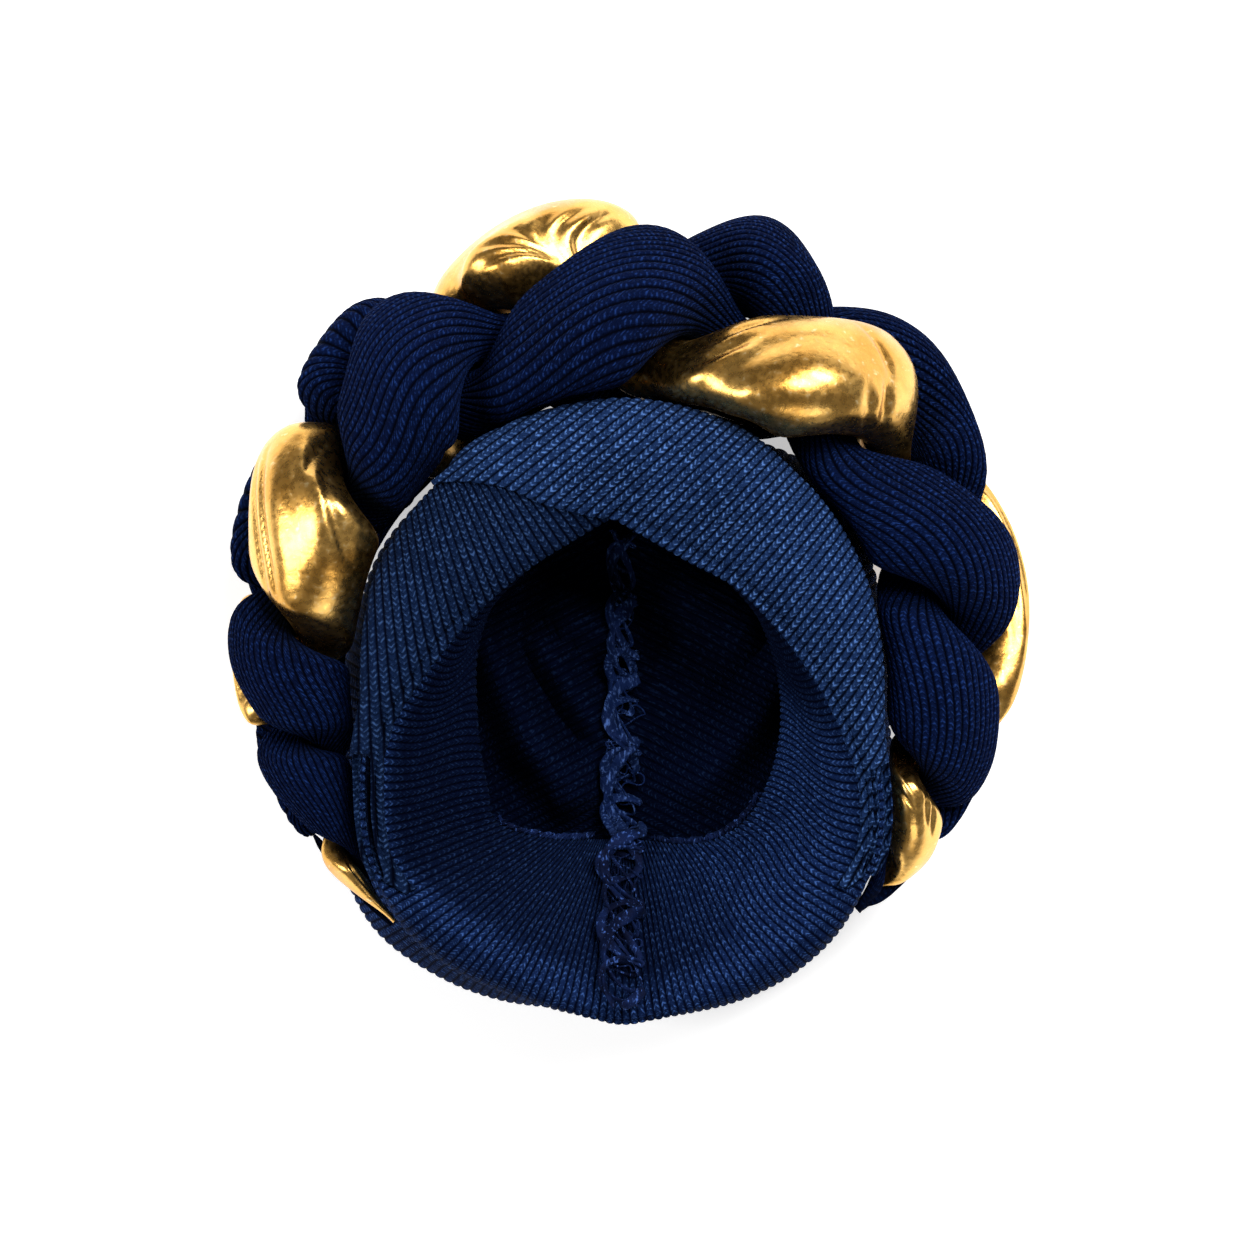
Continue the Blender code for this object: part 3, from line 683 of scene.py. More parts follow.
def slice_to_space(theta, flat):
    """Points of the slice across the plait, given along its width and off its face."""
    middle, size, height = plait_row(theta)
    outer_share = np.maximum(flat[:, 0], 0.0) / (SWING * size)
    tilt, _, _, lead = plait_form(theta)
    angle = np.radians(theta + lead * outer_share**2 / (outer_share**2 + LEAD_ONSET))
    cos_tilt = math.cos(tilt)
    sin_tilt = math.sin(tilt)
    radius = middle + flat[:, 0] * cos_tilt + flat[:, 1] * sin_tilt
    z = height - flat[:, 0] * sin_tilt + flat[:, 1] * cos_tilt
    y = PLAIT_CENTRE_Y + radius * np.sin(angle)
    return np.stack([radius * np.cos(angle), y, z], axis=-1)


def free_length(theta, centre, rays, most):
    """How far rays in the slice run before they meet the cap, the bands or the floor."""
    shares = np.linspace(RAY_FIRST, 1.0, RAY_STEPS)
    path = centre + rays[:, None, :] * (shares[None, :, None] * most[:, None, None])
    x, y, z = slice_to_space(theta, path.reshape(-1, 2)).T
    blocked = (np.hypot(x, y) < outer_reach(x, y, z)) | (z < LOWEST)
    blocked = blocked.reshape(len(rays), -1)
    first = np.argmax(blocked, axis=1)
    stop = np.maximum(shares[first] - shares[0], RAY_LEAST) * most
    return np.where(blocked.any(axis=1), stop, most)


def strand_reach(strand, theta, ray):
    """Half widths of one strand in a slice: an oval pressed flat where it meets neighbours."""
    size = plait_row(theta)[1]
    centre = strand_centre(strand, theta)
    inward = np.maximum(-ray[:, 0], 0.0)
    seated = np.maximum(-ray[:, 1], 0.0)
    wide = STRAND_HALF_WIDTH * size * (1 + INNER_EASE * inward)
    deep = plait_form(theta)[2] * STRAND_HALF_DEPTH * size * (1 + SEAT_EASE * seated)
    inverse = np.sqrt((ray[:, 0] / wide) ** 2 + (ray[:, 1] / deep) ** 2) ** SECTION_POWER
    for other in range(3):
        if other != strand:
            away = strand_centre(other, theta) - centre
            apart = np.linalg.norm(away)
            facing = np.maximum(ray @ (away / apart), 1e-3)
            room = max(apart - STRAND_GAP, LEAST_ROOM) / 2
            inverse = inverse + (room / facing) ** -SECTION_POWER
    return free_length(theta, centre, ray, inverse ** (-1 / SECTION_POWER))


def softened(values):
    """Values averaged a little with their neighbours along both axes, the second one closed."""
    for _ in range(2):
        values = (np.roll(values, 1, 1) + 2 * values + np.roll(values, -1, 1)) / 4
        padded = np.vstack([values[:1], values, values[-1:]])
        values = (padded[:-2] + 2 * values + padded[2:]) / 4
    return values


def strand_base(strand, slices, sides):
    """Smooth surface of a strand as rings of points, one for each slice across the plait."""
    fine = np.linspace(PLAIT_ROWS[0][0], PLAIT_ROWS[-1][0], PHASE_SAMPLES)
    phase = plait_phase(fine)
    thetas = np.interp(np.linspace(phase[0], phase[-1], slices), phase, fine)
    turn = np.arange(sides) * TURN / sides
    ray = np.stack([np.cos(turn), np.sin(turn)], axis=-1)
    reach = np.array([strand_reach(strand, theta, ray) for theta in thetas])
    near = np.pad(reach, ((1, 1), (0, 0)), mode="edge")
    reach = softened(np.minimum(np.minimum(near[:-2], near[2:]), reach))
    rings = []
    for theta, row in zip(thetas, reach):
        rings.append(slice_to_space(theta, strand_centre(strand, theta) + ray * row[:, None]))
    return np.array(rings)


def grid_normals(points, closed):
    """Normals of a grid of points, closed along its second axis or open."""
    down = np.gradient(points, axis=0)
    if closed:
        across = np.roll(points, -1, 1) - np.roll(points, 1, 1)
    else:
        across = np.gradient(points, axis=1)
    return unit(np.cross(across, down))


def six_volumes(points, faces):
    """Six times the volume within faces of three or four corners, below 0 if they face in."""
    total = 0.0
    for k in range(1, faces.shape[1] - 1):
        a, b, c = (points[faces[:, j]] for j in (0, k, k + 1))
        total += np.einsum("ij,ij->", np.cross(a, b), c)
    return total


def build_mesh(name, look, points, quads, uvs, triangles, painted_shade=None):
    """A mesh object from arrays: quads with their corner UVs, then triangles.

    The painted shade value darkens the knit: 0 is its full colour and 1 is its darkest."""
    mesh = bpy.data.meshes.new(name)
    if six_volumes(points, quads) < 0:
        quads, uvs, triangles = (values[:, ::-1] for values in (quads, uvs, triangles))
    corners = np.concatenate([quads.ravel(), triangles.ravel()]).astype(np.int32)
    sizes = np.repeat([4, 3], [len(quads), len(triangles)]).astype(np.int32)
    starts = (np.cumsum(sizes) - sizes).astype(np.int32)
    mesh.vertices.add(len(points))
    mesh.vertices.foreach_set("co", (points * MM).astype(np.float32).ravel())
    mesh.loops.add(len(corners))
    mesh.loops.foreach_set("vertex_index", corners)
    mesh.polygons.add(len(sizes))
    mesh.polygons.foreach_set("loop_start", starts)
    mesh.polygons.foreach_set("loop_total", sizes)
    mesh.polygons.foreach_set("use_smooth", np.ones(len(sizes), bool))
    layer = mesh.uv_layers.new(name="knit")
    flat = np.zeros((len(corners), 2), np.float32)
    flat[: 4 * len(quads)] = uvs.reshape(-1, 2)
    layer.data.foreach_set("uv", flat.ravel())
    if painted_shade is not None:
        depth = mesh.attributes.new("painted_shade", "FLOAT", "POINT")
        depth.data.foreach_set("value", np.asarray(painted_shade, np.float32))
    mesh.update(calc_edges=True)
    mesh.validate()
    mesh.materials.append(look)
    made = bpy.data.objects.new(name, mesh)
    bpy.context.collection.objects.link(made)
    return made


def ring_quads(rings, u, v):
    """Quads that join closed rings of points, and their corner UVs; u and v have one more side."""
    count = rings.shape[1]
    ring = np.arange(len(rings) - 1)[:, None] * count
    i = np.arange(count)[None, :]
    j = (i + 1) % count
    quads = np.stack([ring + i, ring + j, ring + count + j, ring + count + i], axis=-1)
    uv = np.stack(np.broadcast_arrays(u, v), axis=-1)
    corners = np.stack([uv[:-1, :-1], uv[:-1, 1:], uv[1:, 1:], uv[1:, :-1]], axis=-2)
    return quads.reshape(-1, 4), corners.reshape(-1, 4, 2)


def closed_tube(rings, u, v, middles=None):
    """Points, quads, their UVs and end triangles of a tube, its ends fanned to two middles."""
    if middles is None:
        middles = (rings[0].mean(axis=0), rings[-1].mean(axis=0))
    points = np.vstack([rings.reshape(-1, 3), *middles])
    i = np.arange(rings.shape[1])
    j = (i + 1) % len(i)
    end = (len(rings) - 1) * len(i)
    first = np.stack([np.full(len(i), len(points) - 2), j, i], axis=-1)
    last = np.stack([np.full(len(i), len(points) - 1), end + i, end + j], axis=-1)
    return points, *ring_quads(rings, u, v), np.concatenate([first, last])


def hem_value(table, degrees):
    """A value of the turned-in hem at angles round the opening, from its table."""
    start = table[0][0]
    return table_curve(table, 1, (np.asarray(degrees, float) - start) % 360.0 + start)


def rim_roll(degrees, span):
    """Height of the rolled edge over one row of the cap, 0 where a band covers the rim."""
    turned = from_nape(degrees)
    bare = 1 - smooth_step(*BARE_CEASES, turned) * (1 - smooth_step(*BARE_BEGINS, turned))
    return bare * (ridge(RIM_ROLL, span) - ridge(RIM_CREASE, span))


def cap_row(degrees, span):
    """One row of the cap's middle surface and its normals, the hem's rows sheared."""
    ahead = hem_value(HEM_TWIST, degrees) * smooth_step(RIM_SPAN + 0.3, CAP_LAST_ROW, span)
    turned = degrees + ahead
    here = np.array([span])
    return cap_surface(turned, here)[0], cap_normals(turned, here)[0]


def cap_shade(degrees, span, heights, face):
    """Painted shade of one row of the cap: by height inside, by place on the outer wall and the hem.
    """
    if face < 0:
        return 1 - smooth_step(*PAINTED_SHADE_HEIGHTS, heights)
    wall = WALL_SHADE * (1 - under_band(degrees)) * (1 - smooth_step(*WALL_ENDS, span))
    return hem_value(HEM_SHADE, degrees) * smooth_step(*HEM_BEGINS, span) + wall


def build_cap(look):
    """Crown, side wall, rim fold and turned-in hem, ribbed on both faces."""
    count = CAP_RIBS * CAP_SAMPLES
    degrees = np.arange(count) * 360.0 / count
    number = np.arange(count + 1) / CAP_SAMPLES
    rib = RIB_DEPTH * (rib_height(number[:-1]) - RIB_MIDDLE)
    rings = []
    u = []
    painted_shade = []
    for face, runs in ((1, OUTER_RUNS), (-1, INNER_RUNS)):
        for span in np.concatenate([np.linspace(*run) for run in runs]):
            middle, normal = cap_row(degrees, span)
            ribbed = rib * smooth_step(*RIBS_BEGIN, span)
            roll = rim_roll(degrees, span) if face > 0 else 0.0
            ring = middle + face * normal * (CAP_CLOTH / 2 + ribbed + roll)[:, None]
            ring[:, 2] = np.maximum(ring[:, 2], 0.0)
            rings.append(ring)
            plan = (CROWN_LEAN[0] * np.abs(ring[:, 0]) + CROWN_LEAN[1] * ring[:, 1]) / RIB_PITCH
            u.append(number if span > CROWN_LAST else np.append(plan, plan[0]))
            # Painted shade of each row: dark deep inside the cap, on the bare outer wall and on the
            # hem.
            painted_shade.append(cap_shade(degrees, span, ring[:, 2], face))
    rings = np.array(rings)
    step = np.linalg.norm(np.diff(rings, axis=0), axis=-1).mean(axis=1)
    v = np.concatenate([[0.0], np.cumsum(step)]) / STITCH
    pole = cap_surface(degrees[:1], np.array([0.0]))[0, 0]
    flat = np.array([0.0, 0.0, CAP_CLOTH / 2])
    stack = closed_tube(rings, np.array(u), v[:, None], (pole - flat, pole + flat))
    return build_mesh("cap_knit", look, *stack, np.append(np.ravel(painted_shade), (0.0, 1.0)))


def band_form(table, laps_over, degrees, columns):
    """Places of a band's points on the way to the neck, and the heights of its two faces."""
    inner_edge = table_curve(table, 1, degrees)
    outer_edge = table_curve(table, 2, degrees)
    even = np.linspace(0.0, 1.0, columns)
    wave = np.cos(math.pi * even)
    across = 0.5 - 0.5 * wave * (0.92 + 0.08 * np.abs(wave))
    across = 0.35 * across + 0.65 * even
    ending = smooth_step(0.0, TAIL_RUN, np.minimum(degrees - degrees[0], degrees[-1] - degrees))
    width = (outer_edge - inner_edge) * (TAIL_WIDTH + (1 - TAIL_WIDTH) * ending)
    shares = inner_edge[:, None] + width[:, None] * across[None, :]
    lap = smooth_step(*LAP_BEGINS, degrees) if laps_over else np.zeros(len(degrees))
    base = CAP_CLOTH / 2 + CLEARANCE + lap * (BAND_CLOTH + CLEARANCE)
    low = base[:, None] + RIM_EASE * (1 - shares) ** 6
    puff = np.sin(math.pi * across) ** PUFF_POWER
    thick = BAND_CLOTH * (TAIL_THICK + (1 - TAIL_THICK) * ending)[:, None]
    covered = 0.0 if laps_over else 1 - smooth_step(*LAPPED, degrees)
    edge = ridge(EDGE_CORD, shares) - ridge(EDGE_CREASE, shares)
    rolled = (ending * (1 - covered))[:, None] * edge
    high = low + thick * (EDGE_THICK + (1 - EDGE_THICK) * puff[None, :]) + rolled
    return shares, low, high


def band_end(columns):
    """Triangles that close a band's end, from its upper points to its fewer lower ones."""
    last = UNDER_COLUMNS - 1

    def below(k):
        return columns + last - min(int(k / (columns - 1) * last + 0.5), last)

    triangles = []
    for k in range(columns - 1):
        triangles.append((k, k + 1, below(k)))
        if below(k + 1) != below(k):
            triangles.append((k + 1, below(k + 1), below(k)))
    return np.array(triangles)


def build_band(name, table, laps_over, grid, fan, shade, look):
    """A band of doubled knit over the rim; its ribs fan out from a far centre in plan."""
    stations, columns = grid
    centre_x, centre_y, spread = fan
    degrees = np.linspace(table[0][0], table[-1][0], stations)
    shares, low, high = band_form(table, laps_over, degrees, columns)
    smooth = band_layer(degrees, shares, high)
    x = smooth[..., 0] - centre_x
    y = smooth[..., 1] - centre_y
    number = np.arctan2(y, x) * spread / RIB_PITCH
    along = np.hypot(x, y) / STITCH
    normal = grid_normals(smooth, closed=False)
    facing = np.sign(normal[stations // 2, columns // 2, 2])
    ribs = RIB_DEPTH * (rib_height(number) - RIB_MIDDLE)
    over = smooth + facing * normal * ribs[..., None]
    pick = np.linspace(0, columns - 1, UNDER_COLUMNS).round().astype(int)
    under = band_layer(degrees, shares[:, pick], low[:, pick])
    loop = np.concatenate([over, under[:, ::-1]], axis=1)
    u = np.concatenate([number, number[:, pick[::-1]], number[:, :1]], axis=1)
    v = np.concatenate([along, along[:, pick[::-1]], along[:, :1]], axis=1)
    quads, corners = ring_quads(loop, u, v)
    end = band_end(columns)
    triangles = np.vstack([end[:, ::-1], end + (stations - 1) * loop.shape[1]])
    points = loop.reshape(-1, 3)
    # Painted shade, the same over the whole band: the left band is darker than the right one.
    painted_shade = np.full(len(points), shade)
    return build_mesh(name, look, points, quads, corners, triangles, painted_shade)


def foil_relief(shares, sides, length, radius):
    """Height of the foil strand's folds: each runs between two places, steep on one side."""
    turn = np.radians(sides)[None, :]
    along = shares[:, None] * length
    relief = 0.35 * np.sin(3 * turn + along / 21.0) + 0.25 * np.sin(5 * turn - along / 13.0)
    for s0, a0, s1, a1, height, width, steep in FOIL_FOLDS:
        run_s = (s1 - s0) * length
        run_a = math.radians(a1 - a0) * radius
        from_s = along - s0 * length
        from_a = (((sides - a0 + 180.0) % 360.0 - 180.0) * math.pi / 180 * radius)[None, :]
        share = np.clip((from_s * run_s + from_a * run_a) / (run_s**2 + run_a**2), 0.0, 1.0)
        off_s = from_s - share * run_s
        off_a = from_a - share * run_a
        reach = np.where(run_s * off_a > run_a * off_s, width, width * steep)
        taper = np.sqrt(np.sin(math.pi * np.clip(share, 0.03, 0.97)))
        relief = relief + height * taper * np.exp(-(off_s**2 + off_a**2) / reach**2)
    return relief


def build_strand(name, strand, slices, ribs, samples, look):
    """A stuffed plait strand: ribs run along it, or where there are none, the folds of foil."""
    base = strand_base(strand, BASE_RINGS, BASE_SIDES)
    count = ribs * samples if ribs else samples
    at = np.linspace(0.0, len(base) - 1.0, slices)
    turned = spline(base.swapaxes(0, 1), np.arange(count) * BASE_SIDES / count, closed=True)
    smooth = spline(turned.swapaxes(0, 1), at)
    normal = grid_normals(smooth, closed=True)
    outward = np.einsum("ijk,ijk->", normal, smooth - smooth.mean(axis=1, keepdims=True))
    number = np.arange(count + 1) / (samples if ribs else FOIL_SIDES_A_UNIT)
    step = np.linalg.norm(np.diff(smooth, axis=0), axis=-1)
    if ribs:
        relief = RIB_DEPTH * (rib_height(number[:-1]) - STRAND_RIB_MIDDLE)[None, :]
    else:
        sides = np.arange(count) * 360.0 / count
        run = step.mean(axis=1).sum()
        relief = foil_relief(np.linspace(0.0, 1.0, slices), sides, run, FOIL_RADIUS)
    thin = np.minimum(1.0, np.linspace(0.0, FADE_RATE, slices))
    fade = np.minimum(thin, thin[::-1])[:, None]
    rings = smooth + math.copysign(1.0, outward) * normal * (fade * relief)[..., None]
    rings[..., 2] = np.maximum(rings[..., 2], STRAND_FLOOR)
    length = np.vstack([np.zeros(count), np.cumsum(step, axis=0)]) / STITCH
    v = np.hstack([length, length[:, :1]])
    return build_mesh(name, look, *closed_tube(rings, number[None, :], v))


def cloth_under(piece):
    """Tree of a finished piece, for laying threads on it."""
    mesh = piece.data
    flat = np.empty(len(mesh.vertices) * 3, np.float32)
    mesh.vertices.foreach_get("co", flat)
    faces = [tuple(face.vertices) for face in mesh.polygons]
    return BVHTree.FromPolygons(flat.reshape(-1, 3).tolist(), faces)


def laid_height(tree, x, y, ceiling, reach):
    """Highest cloth near each place in plan, looking down from the ceiling height."""
    down = Vector((0.0, 0.0, -1.0))
    heights = []
    for px, py, top in zip(x, y, ceiling):
        best = 0.0
        for dx, dy in ((0, 0), (reach, 0), (-reach, 0), (0, reach), (0, -reach)):
            hit = tree.ray_cast(Vector(((px + dx) * MM, (py + dy) * MM, top * MM)), down)[0]
            if hit is not None:
                best = max(best, hit.z / MM)
        heights.append(best)
    return np.array(heights)


def ribbon(path, width, thick, twist, sides):
    """Rings of a flattened cord along a path, its section turned by the twist."""
    tangent = unit(np.gradient(path, axis=0))
    across = unit(np.cross(tangent, (0.0, 0.0, 1.0)))
    upward = np.cross(across, tangent)
    turn = np.arange(sides) * TURN / sides
    flat = np.cos(turn)[None, :] * width[:, None]
    tall = np.sin(turn)[None, :] * thick[:, None]
    cos_twist = np.cos(twist)[:, None]
    sin_twist = np.sin(twist)[:, None]
    a = flat * cos_twist - tall * sin_twist
    b = flat * sin_twist + tall * cos_twist
    return path[:, None, :] + a[..., None] * across[:, None, :] + b[..., None] * upward[:, None, :]


def build_cords(name, cords, look):
    """One mesh of several closed cords, each a stack of rings."""
    parts = []
    start = 0
    for rings in cords:
        count = rings.shape[1]
        step = np.linalg.norm(np.diff(rings.mean(axis=1), axis=0), axis=-1)
        length = np.concatenate([[0.0], np.cumsum(step)])[:, None]
        points, *faces = closed_tube(rings, np.linspace(0.0, 1.0, count + 1)[None, :], length)
        if six_volumes(points, faces[2]) + six_volumes(points, faces[0]) < 0:
            faces = [values[:, ::-1] for values in faces]
        quads, corners, ends = faces
        parts.append((points, quads + start, corners, ends + start))
        start += len(points)
    points, quads, corners, ends = (np.vstack(kind) for kind in zip(*parts))
    return build_mesh(name, look, points, quads, corners, ends)


def waver(at, seed):
    """A smooth irregular wave along a row of numbers, between about -1 and 1."""
    sines = (height * np.sin(at * rate + seed * shift) for height, rate, shift in WAVER_SINES)
    return sum(sines) / WAVER_FULL


def seam_ground(tree, x, y, reach):
    """Height of the cloth that the seam lies on, looking down from inside the opening."""
    ceiling = np.where(y < OVERHANG_Y, OPEN_CEILING, OVERHANG_CEILING)
    return laid_height(tree, x, y, ceiling, reach)


def seam_ribbon(tree, seed, wave, spread, wide, lift):
    """A curling ribbon that runs up the whole seam in loops."""
    at = np.linspace(0.0, 1.0, RIBBON_SAMPLES)
    y = SEAM_START_Y + (SEAM_END_Y - SEAM_START_Y) * at
    phase = TURN * (y - SEAM_START_Y) / wave + seed * 2.1 + 0.7 * waver(at * 9.0, seed)
    narrow = 1.0 - 0.38 * smooth_step(0.15, 0.8, at)
    x = spread * narrow * np.sin(phase)
    y = y + SEAM_LOOP * np.cos(phase + 0.6 * seed) * smooth_step(0.0, 0.05, at)
    y = np.clip(y, SEAM_START_Y, SEAM_END_Y)
    ground = seam_ground(tree, x, y, wide * 0.8)
    mean = np.convolve(np.pad(ground, 4, mode="edge"), np.ones(9) / 9, "valid")
    z = np.maximum(ground, mean) + wide + 0.35 + lift * (0.5 + 0.5 * np.cos(phase + seed))
    taper = np.sin(math.pi * np.clip(at, 0.01, 0.99)) ** 0.15
    width = wide * (0.75 + 0.25 * waver(at * 40.0, seed + 3)) * taper
    twist = 1.2 * np.sin(phase * 0.5 + seed) + 0.5 * waver(at * 30.0, seed + 7)
    return ribbon(np.stack([x, y, z], axis=-1), width, 0.36 * width, twist, 10)


def loose_thread(tree, seed):
    """A short thread that wanders over the ruffle, its start spread evenly by its seed."""
    at = np.linspace(0.0, 1.0, THREAD_SAMPLES)
    room = SEAM_END_Y - SEAM_START_Y - 34.0
    first = SEAM_START_Y + 6.0 + room * ((seed * 0.618) % 1.0)
    turns = at * (7.0 + 3.0 * ((seed * 0.382) % 1.0))
    x = THREAD_SPREAD * waver(turns, seed + 11) * (1.0 - 0.3 * (first > 20.0))
    y = first + THREAD_RUN * at + 3.2 * waver(turns * 1.7, seed + 23)
    y = np.clip(y, SEAM_START_Y, SEAM_END_Y)
    z = seam_ground(tree, x, y, 1.6) + 3.4 + 1.5 * waver(turns * 1.3, seed + 5)
    radius = np.full(len(at), THREAD_RADIUS)
    return ribbon(np.stack([x, y, z], axis=-1), radius, radius, 0 * at, 5)


def build_back_seam(cap, look):
    """Ruffle of the seam allowance: curling ribbons that cross each other, and loose threads."""
    tree = cloth_under(cap)
    cords = [seam_ribbon(tree, seed, *form) for seed, form in enumerate(SEAM_RIBBONS)]
    cords += [loose_thread(tree, seed) for seed in range(SEAM_THREADS)]
    return build_cords("back_seam_ruffle", cords, look)


def build_hem_seam(name, first, last, turn_back, look):
    """Raw edge of the turned-in hem: a curling overlocked lip with loose thread round it."""
    cords = []
    for seed, (wide, coil, waves) in enumerate(HEM_CORDS):
        degrees = np.linspace(first, last, HEM_SAMPLES)
        spans = np.array([CAP_LAST_ROW - 0.15, CAP_LAST_ROW])
        edge = cap_surface(degrees, spans)
        onward = unit(edge[1] - edge[0])
        along = unit(np.gradient(edge[1], axis=0))
        upright = unit(np.cross(along, onward))
        phase = np.linspace(0.0, TURN * waves, len(degrees)) + turn_back + seed
        phase = phase + 0.8 * waver(phase * 0.4, seed + turn_back)
        away = CLEARANCE + 0.35 + wide + coil * (1 + np.sin(phase))
        rise = coil * np.cos(phase)
        path = edge[1] + onward * away[:, None] + upright * rise[:, None]
        ends = np.clip(np.linspace(0, 1, len(degrees)), 0.02, 0.98)
        width = wide * np.sin(math.pi * ends) ** 0.3 * (0.85 + 0.15 * waver(phase, seed))
        thick = 0.55 * width if wide > 0.5 else width
        cords.append(ribbon(path, width, thick, 0.8 * np.sin(phase), 8))
    return build_cords(name, cords, look)


def link_or_set(tree, socket, value):
    if isinstance(value, bpy.types.NodeSocket):
        tree.links.new(value, socket)
    else:
        socket.default_value = value


def set_inputs(node, values):
    for name, value in values.items():
        node.inputs[name].default_value = value


def compute(tree, operation, *values):
    made = tree.nodes.new("ShaderNodeMath")
    made.operation = operation
    for socket, value in zip(made.inputs, values):
        link_or_set(tree, socket, value)
    return made.outputs[0]


def remap(tree, value, low, high, to_low=0.0, to_high=1.0):
    """The value's smooth way from low to high, as a number from to_low to to_high."""
    made = tree.nodes.new("ShaderNodeMapRange")
    made.interpolation_type = "SMOOTHSTEP"
    set_inputs(made, {"From Min": low, "From Max": high, "To Min": to_low, "To Max": to_high})
    tree.links.new(value, made.inputs["Value"])
    return made.outputs["Result"]


def blend_colour(tree, share, first, second):
    made = tree.nodes.new("ShaderNodeMix")
    made.data_type = "RGBA"
    link_or_set(tree, made.inputs["Factor"], share)
    for name, colour in (("A", first), ("B", second)):
        socket = [s for s in made.inputs if s.name == name and s.type == "RGBA"][0]
        plain = not isinstance(colour, bpy.types.NodeSocket)
        link_or_set(tree, socket, (*colour, 1.0) if plain else colour)
    return [s for s in made.outputs if s.type == "RGBA"][0]


def noise(tree, scale, detail, roughness=0.55, stretch=(1.0, 1.0, 1.0)):
    place = tree.nodes.new("ShaderNodeTexCoord")
    move = tree.nodes.new("ShaderNodeMapping")
    made = tree.nodes.new("ShaderNodeTexNoise")
    set_inputs(move, {"Scale": stretch})
    set_inputs(made, {"Scale": scale, "Detail": detail, "Roughness": roughness})
    tree.links.new(place.outputs["Object"], move.inputs["Vector"])
    tree.links.new(move.outputs["Vector"], made.inputs["Vector"])
    return made.outputs["Fac"]


def bumped(tree, shader, height, distance, strength=1.0):
    made = tree.nodes.new("ShaderNodeBump")
    set_inputs(made, {"Distance": distance, "Strength": strength})
    tree.links.new(height, made.inputs["Height"])
    tree.links.new(made.outputs["Normal"], shader.inputs["Normal"])


def coordinates(tree, vector):
    """The three parts of a vector socket."""
    split = tree.nodes.new("ShaderNodeSeparateXYZ")
    tree.links.new(vector, split.inputs[0])
    return split.outputs


def new_look(name):
    made = bpy.data.materials.new(name)
    made.use_nodes = True
    return made, made.node_tree, made.node_tree.nodes["Principled BSDF"]


def knit_look(name, deep, body, light):
    """Rib knit: rounded ribs of slanted stitches with painted highlights, grooves in painted shade;
    fuzzy.
    """
    made, tree, shader = new_look(name)
    uv = tree.nodes.new("ShaderNodeUVMap")
    uv.uv_map = "knit"
    place = coordinates(tree, uv.outputs["UV"])
    fuzz = noise(tree, 700.0, 3.0)
    patch = noise(tree, 22.0, 3.0)
    fract = compute(tree, "FRACT", place["X"])
    side = compute(tree, "MULTIPLY_ADD", fract, 2.0, -1.0)
    phase = compute(tree, "ABSOLUTE", side)
    groove = remap(tree, phase, 0.48, 0.98)
    slant = compute(tree, "MULTIPLY_ADD", phase, 0.75, place["Y"])
    wobble = compute(tree, "MULTIPLY_ADD", fuzz, 0.6, slant)
    wave = compute(tree, "SINE", compute(tree, "MULTIPLY", wobble, TURN))
    stitch = remap(tree, wave, -0.7, 0.9)
    # Painted highlight: a lighter colour on the stitches of each rib.
    shine = compute(tree, "MULTIPLY", stitch, remap(tree, fuzz, 0.42, 0.66))
    face = blend_colour(tree, remap(tree, patch, 0.35, 0.68), body, [0.62 * c for c in body])
    lit = blend_colour(tree, shine, face, light)
    # Painted shade: the grooves take the dark colour.
    colour = blend_colour(tree, groove, lit, deep)
    # Painted shade: the painted_shade attribute blends the colour towards the dark groove colour.
    inside = tree.nodes.new("ShaderNodeAttribute")
    inside.attribute_name = "painted_shade"
    share = compute(tree, "MULTIPLY", inside.outputs["Fac"], 0.86)
    shaded = blend_colour(tree, share, colour, [0.9 * c for c in deep])
    tree.links.new(shaded, shader.inputs["Base Color"])
    proud = compute(tree, "SUBTRACT", 1.0, groove)
    relief = compute(tree, "MULTIPLY", proud, compute(tree, "MULTIPLY_ADD", stitch, 0.55, 0.45))
    height = compute(tree, "MULTIPLY_ADD", fuzz, 0.5, relief)
    bumped(tree, shader, height, 0.00055)
    set_inputs(shader, {"Roughness": 0.85, "Specular IOR Level": 0.02, "Sheen Weight": 0.015,
                        "Sheen Roughness": 0.40, "Sheen Tint": SHEEN_TINT})
    return made


def foil_look(name):
    """Gold foil on stretch cloth: a soft metal gloss with fine crinkles and rubbed patches."""
    made, tree, shader = new_look(name)
    crinkle = noise(tree, 420.0, 3.0)
    drift = noise(tree, 45.0, 4.0)
    colour = blend_colour(tree, remap(tree, drift, 0.32, 0.70), *FOIL_COLOURS)
    worn = blend_colour(tree, remap(tree, crinkle, 0.60, 0.78), colour, FOIL_WORN)
    tree.links.new(worn, shader.inputs["Base Color"])
    tree.links.new(remap(tree, crinkle, 0.30, 0.75, 0.24, 0.36), shader.inputs["Roughness"])
    bumped(tree, shader, compute(tree, "MULTIPLY_ADD", drift, 4.0, crinkle), 0.00013, 0.8)
    set_inputs(shader, {"Metallic": 1.0})
    return made


def thread_look(name):
    """Overlock thread: fine twisted filaments, a little shinier than the knit."""
    made, tree, shader = new_look(name)
    fibre = noise(tree, 900.0, 4.0, 0.6, (1.0, 0.35, 1.0))
    patch = noise(tree, 140.0, 3.0)
    body = blend_colour(tree, remap(tree, patch, 0.36, 0.58), *THREAD_COLOURS)
    colour = blend_colour(tree, remap(tree, fibre, 0.56, 0.70), body, THREAD_LIGHT)
    place = coordinates(tree, tree.nodes.new("ShaderNodeTexCoord").outputs["Object"])
    # Painted light: the thread turns paler low in the crown, where little light reaches.
    low = remap(tree, place["Z"], *PAINTED_LIGHT_HEIGHTS, 0.75, 0.0)
    painted_light_thread = blend_colour(tree, remap(tree, fibre, 0.50, 0.68), *THREAD_PAINTED_LIGHT)
    tree.links.new(blend_colour(tree, low, colour, painted_light_thread), shader.inputs["Base Color"])
    bumped(tree, shader, fibre, 0.0006)
    set_inputs(shader, {"Roughness": 0.7, "Specular IOR Level": 0.06, "Sheen Weight": 0.02,
                        "Sheen Tint": THREAD_TINT})
    return made


